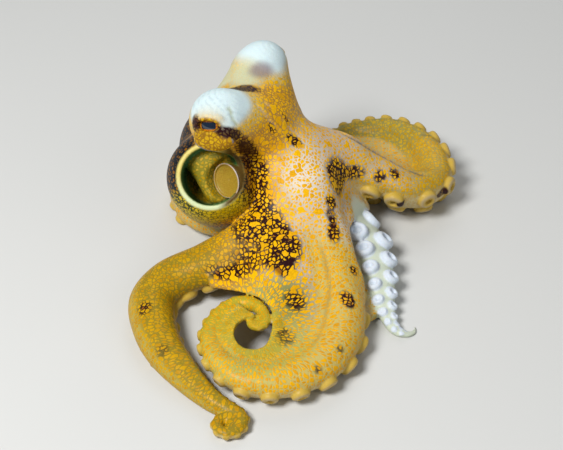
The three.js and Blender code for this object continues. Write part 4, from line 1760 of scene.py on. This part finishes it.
        # the mottle, and the faint line between small cells that are joined
        speck = make.add("MapRange", {"Value": grain, "From Min": 0.3, "From Max": 0.7}, **SMOOTH)
        line = make.add("MapRange", {"Value": edge, "From Min": 0.0, "From Max": 0.16}, **SMOOTH)
        speck = make.add("Math", {0: speck, 1: line}, operation="ADD")
        light = make.add("Math", {0: speck, 1: 0.15, 2: 0.78}, operation="MULTIPLY_ADD")
        tone = make.add("HueSaturation", {"Value": light, "Color": tone})
        light = make.add("Math", {0: grain, 1: 0.2, 2: 0.9}, operation="MULTIPLY_ADD")
        net = make.add("HueSaturation", {"Value": light, "Color": net})

        height = make.add("Math", {0: cell, 1: 0.6}, operation="MULTIPLY")
        height = make.add("Math", {0: grain, 1: 0.5, 2: height}, operation="MULTIPLY_ADD")
        make.feed(make.shader, {
            "Base Color": make.add("Mix", {"Factor": cell, 6: net, 7: tone}, 2, data_type="RGBA"),
            "Normal": make.add("Bump", {"Strength": 0.6, "Distance": self.relief, "Height": height}),
            "Roughness": 0.45, "Specular IOR Level": 0.14, "Coat Weight": 0.06, "Coat Roughness": 0.2,
            "Subsurface Weight": 0.06, "Subsurface Radius": (1.0, 0.6, 0.3), "Subsurface Scale": 0.0008})
        return make.material


@dataclass(frozen=True)
class EyePaint:
    """The wet cornea of an eye over a golden iris with a dark blue slit.

    The cornea is smooth and clear, which gives the eye the sharpest gloss on the animal.
    """

    fleck: float = 0.4     # width of the iris's flecks, in millimetres

    def material(self) -> bpy.types.Material:
        """Colours the slit by its distance, which is read from the ball, and flecks the iris.

        Returns:
            The material.
        """
        make = Nodes("eye")
        place = make.add("TexCoord", {}, "Object")
        fleck = make.add("TexNoise", {"Vector": place, "Scale": 1 / (self.fleck * MM)})
        fleck = make.add("MapRange", {"Value": fleck, "From Min": 0.35, "From Max": 0.65}, **SMOOTH)
        iris = make.add("Mix", {"Factor": fleck, 6: four("#D8890E"), 7: four("#8E4A12")}, 2, data_type="RGBA")
        slit = make.add("Attribute", {}, "Fac", attribute_name="slit")
        slit = make.add("MapRange", {"Value": slit, "From Min": -0.06, "From Max": 0.12, "To Min": 1.0,
                                     "To Max": 0.0}, **SMOOTH)
        make.feed(make.shader, {
            "Base Color": make.add("Mix", {"Factor": slit, 6: iris, 7: four("#071A2E")}, 2, data_type="RGBA"),
            "Roughness": 0.12, "Coat Weight": 1.0, "Coat Roughness": 0.03})
        return make.material


@dataclass(frozen=True)
class DiscPaint:
    """Thin skin over the end of the funnel: tan, with a pale rim and a pore.

    It is a little see-through, which gives the eye a soft edge between light and shade.
    """

    fleck: float = 0.4545    # width of its flecks, in millimetres

    def material(self) -> bpy.types.Material:
        """Colours the rim and the pore by their distances, which are read from the disc.

        Returns:
            The material.
        """
        make = Nodes("funnel_disc")
        out, pore = (make.add("Attribute", {}, "Fac", attribute_name=name) for name in ("out", "pore"))
        place = make.add("TexCoord", {}, "Object")
        fleck = make.add("TexNoise", {"Vector": place, "Scale": 1 / (self.fleck * MM), "Detail": 3.0})
        fleck = make.add("MapRange", {"Value": fleck, "From Min": 0.35, "From Max": 0.7}, **SMOOTH)
        tan = make.add("Mix", {"Factor": fleck, 6: four("#AB8C2C"), 7: four("#98761C")}, 2, data_type="RGBA")
        rim = make.add("MapRange", {"Value": out, "From Min": 0.9, "From Max": 0.97}, **SMOOTH)
        colour = make.add("Mix", {"Factor": rim, 6: tan, 7: four("#B7A79A")}, 2, data_type="RGBA")
        pore = make.add("MapRange", {"Value": pore, "From Min": 0.0, "From Max": 0.35, "To Min": 1.0,
                                     "To Max": 0.0}, **SMOOTH)
        colour = make.add("Mix", {"Factor": pore, 6: colour, 7: four("#D9C78E")}, 2, data_type="RGBA")
        make.feed(make.shader, {"Base Color": colour, "Roughness": 0.4, "Subsurface Weight": 0.2,
                                "Subsurface Scale": 0.001})
        return make.material


@dataclass(frozen=True)
class FloorPaint:
    """A matt pale floor, which gives the eye soft shadows and no reflection."""

    def material(self) -> bpy.types.Material:
        """Sets one even grey on the shader's own sockets.

        Returns:
            The material.
        """
        make = Nodes("floor_paint")
        make.feed(make.shader, {"Base Color": four("#CFCFCC"), "Roughness": 0.8})
        return make.material


# ---------------------------------------------------------------- studio


@dataclass(frozen=True)
class Lamp:
    """A soft square light: where it stands from the animal in metres, its side and its power."""

    name: str
    place: tuple
    side: float
    power: float

    def build(self, target: np.ndarray) -> None:
        """Hangs the light and turns it to the animal.

        Args:
            target: where the animal is, in metres.
        """
        light = bpy.data.lights.new(self.name, "AREA")
        light.energy = self.power
        light.size = self.side
        holder = bpy.data.objects.new(self.name, light)
        holder.location = target + np.array(self.place)
        holder.rotation_euler = Vector(-np.array(self.place)).to_track_quat("-Z", "Y").to_euler()
        bpy.context.scene.collection.objects.link(holder)


@dataclass(frozen=True)
class Studio:
    """Floor, lights and camera.

    Attributes:
        target: what the camera looks at, in millimetres in the body's own frame.
        distance: from there to the camera, in millimetres.
        elevation: of the camera, in degrees.
        lens: its focal length in millimetres, on a sensor 36 mm wide.
        room: strength of the even light from all round.
    """

    target: tuple = (0.0, 0.0, 34.0)
    distance: float = 475.0
    elevation: float = 38.0
    lens: float = 85.0
    room: float = 0.18
    lamps: tuple = (Lamp("key", (-0.4, -0.4, 0.7), 0.3, 9.2), Lamp("fill", (0.6, -0.5, 0.4), 0.7, 1.0),
                    Lamp("back", (0.1, 0.7, 0.6), 0.6, 1.8))

    def build(self) -> None:
        """A pale floor, soft lights, and the camera above the front."""
        target = (np.array(self.target) + SHIFT) * MM
        bpy.ops.mesh.primitive_plane_add(size=6.0, location=(0, 0, 0))
        floor = bpy.context.object
        floor.name = "floor"
        floor.data.materials.append(FloorPaint().material())
        self.place_camera(target)
        for lamp in self.lamps:
            lamp.build(target)
        world = bpy.data.worlds.new("room")
        world.use_nodes = True
        sky = world.node_tree.nodes["Background"].inputs
        sky["Color"].default_value = (0.9, 0.95, 1.0, 1)
        sky["Strength"].default_value = self.room
        bpy.context.scene.world = world
        bpy.context.scene.view_settings.view_transform = "Standard"

    def place_camera(self, target: np.ndarray) -> None:
        """A long lens, level across, looking down on the animal's front.

        Args:
            target: where the animal is, in metres.
        """
        tilt = np.radians(self.elevation)
        camera = bpy.data.cameras.new("camera")
        camera.lens = self.lens
        camera.sensor_width = 36
        camera.clip_start = 0.01
        holder = bpy.data.objects.new("camera", camera)
        holder.location = target + self.distance * MM * np.array([0.0, -np.cos(tilt), np.sin(tilt)])
        holder.rotation_euler = (np.radians(90) - tilt, 0, 0)
        bpy.context.scene.collection.objects.link(holder)
        bpy.context.scene.camera = holder


def main() -> None:
    """Builds the octopus piece by piece, then the studio."""
    Body().build()
    gloss = EyePaint().material()
    for eye in EYES:
        eye.build(gloss)
        log.info("%s: ball of %.1f mm", eye.name, 2 * eye.ball)
    FUNNEL.build_disc()
    log.info("funnel disc: %.1f mm across", 2 * FUNNEL.radius)
    Studio().build()


if __name__ == "__main__":
    main()
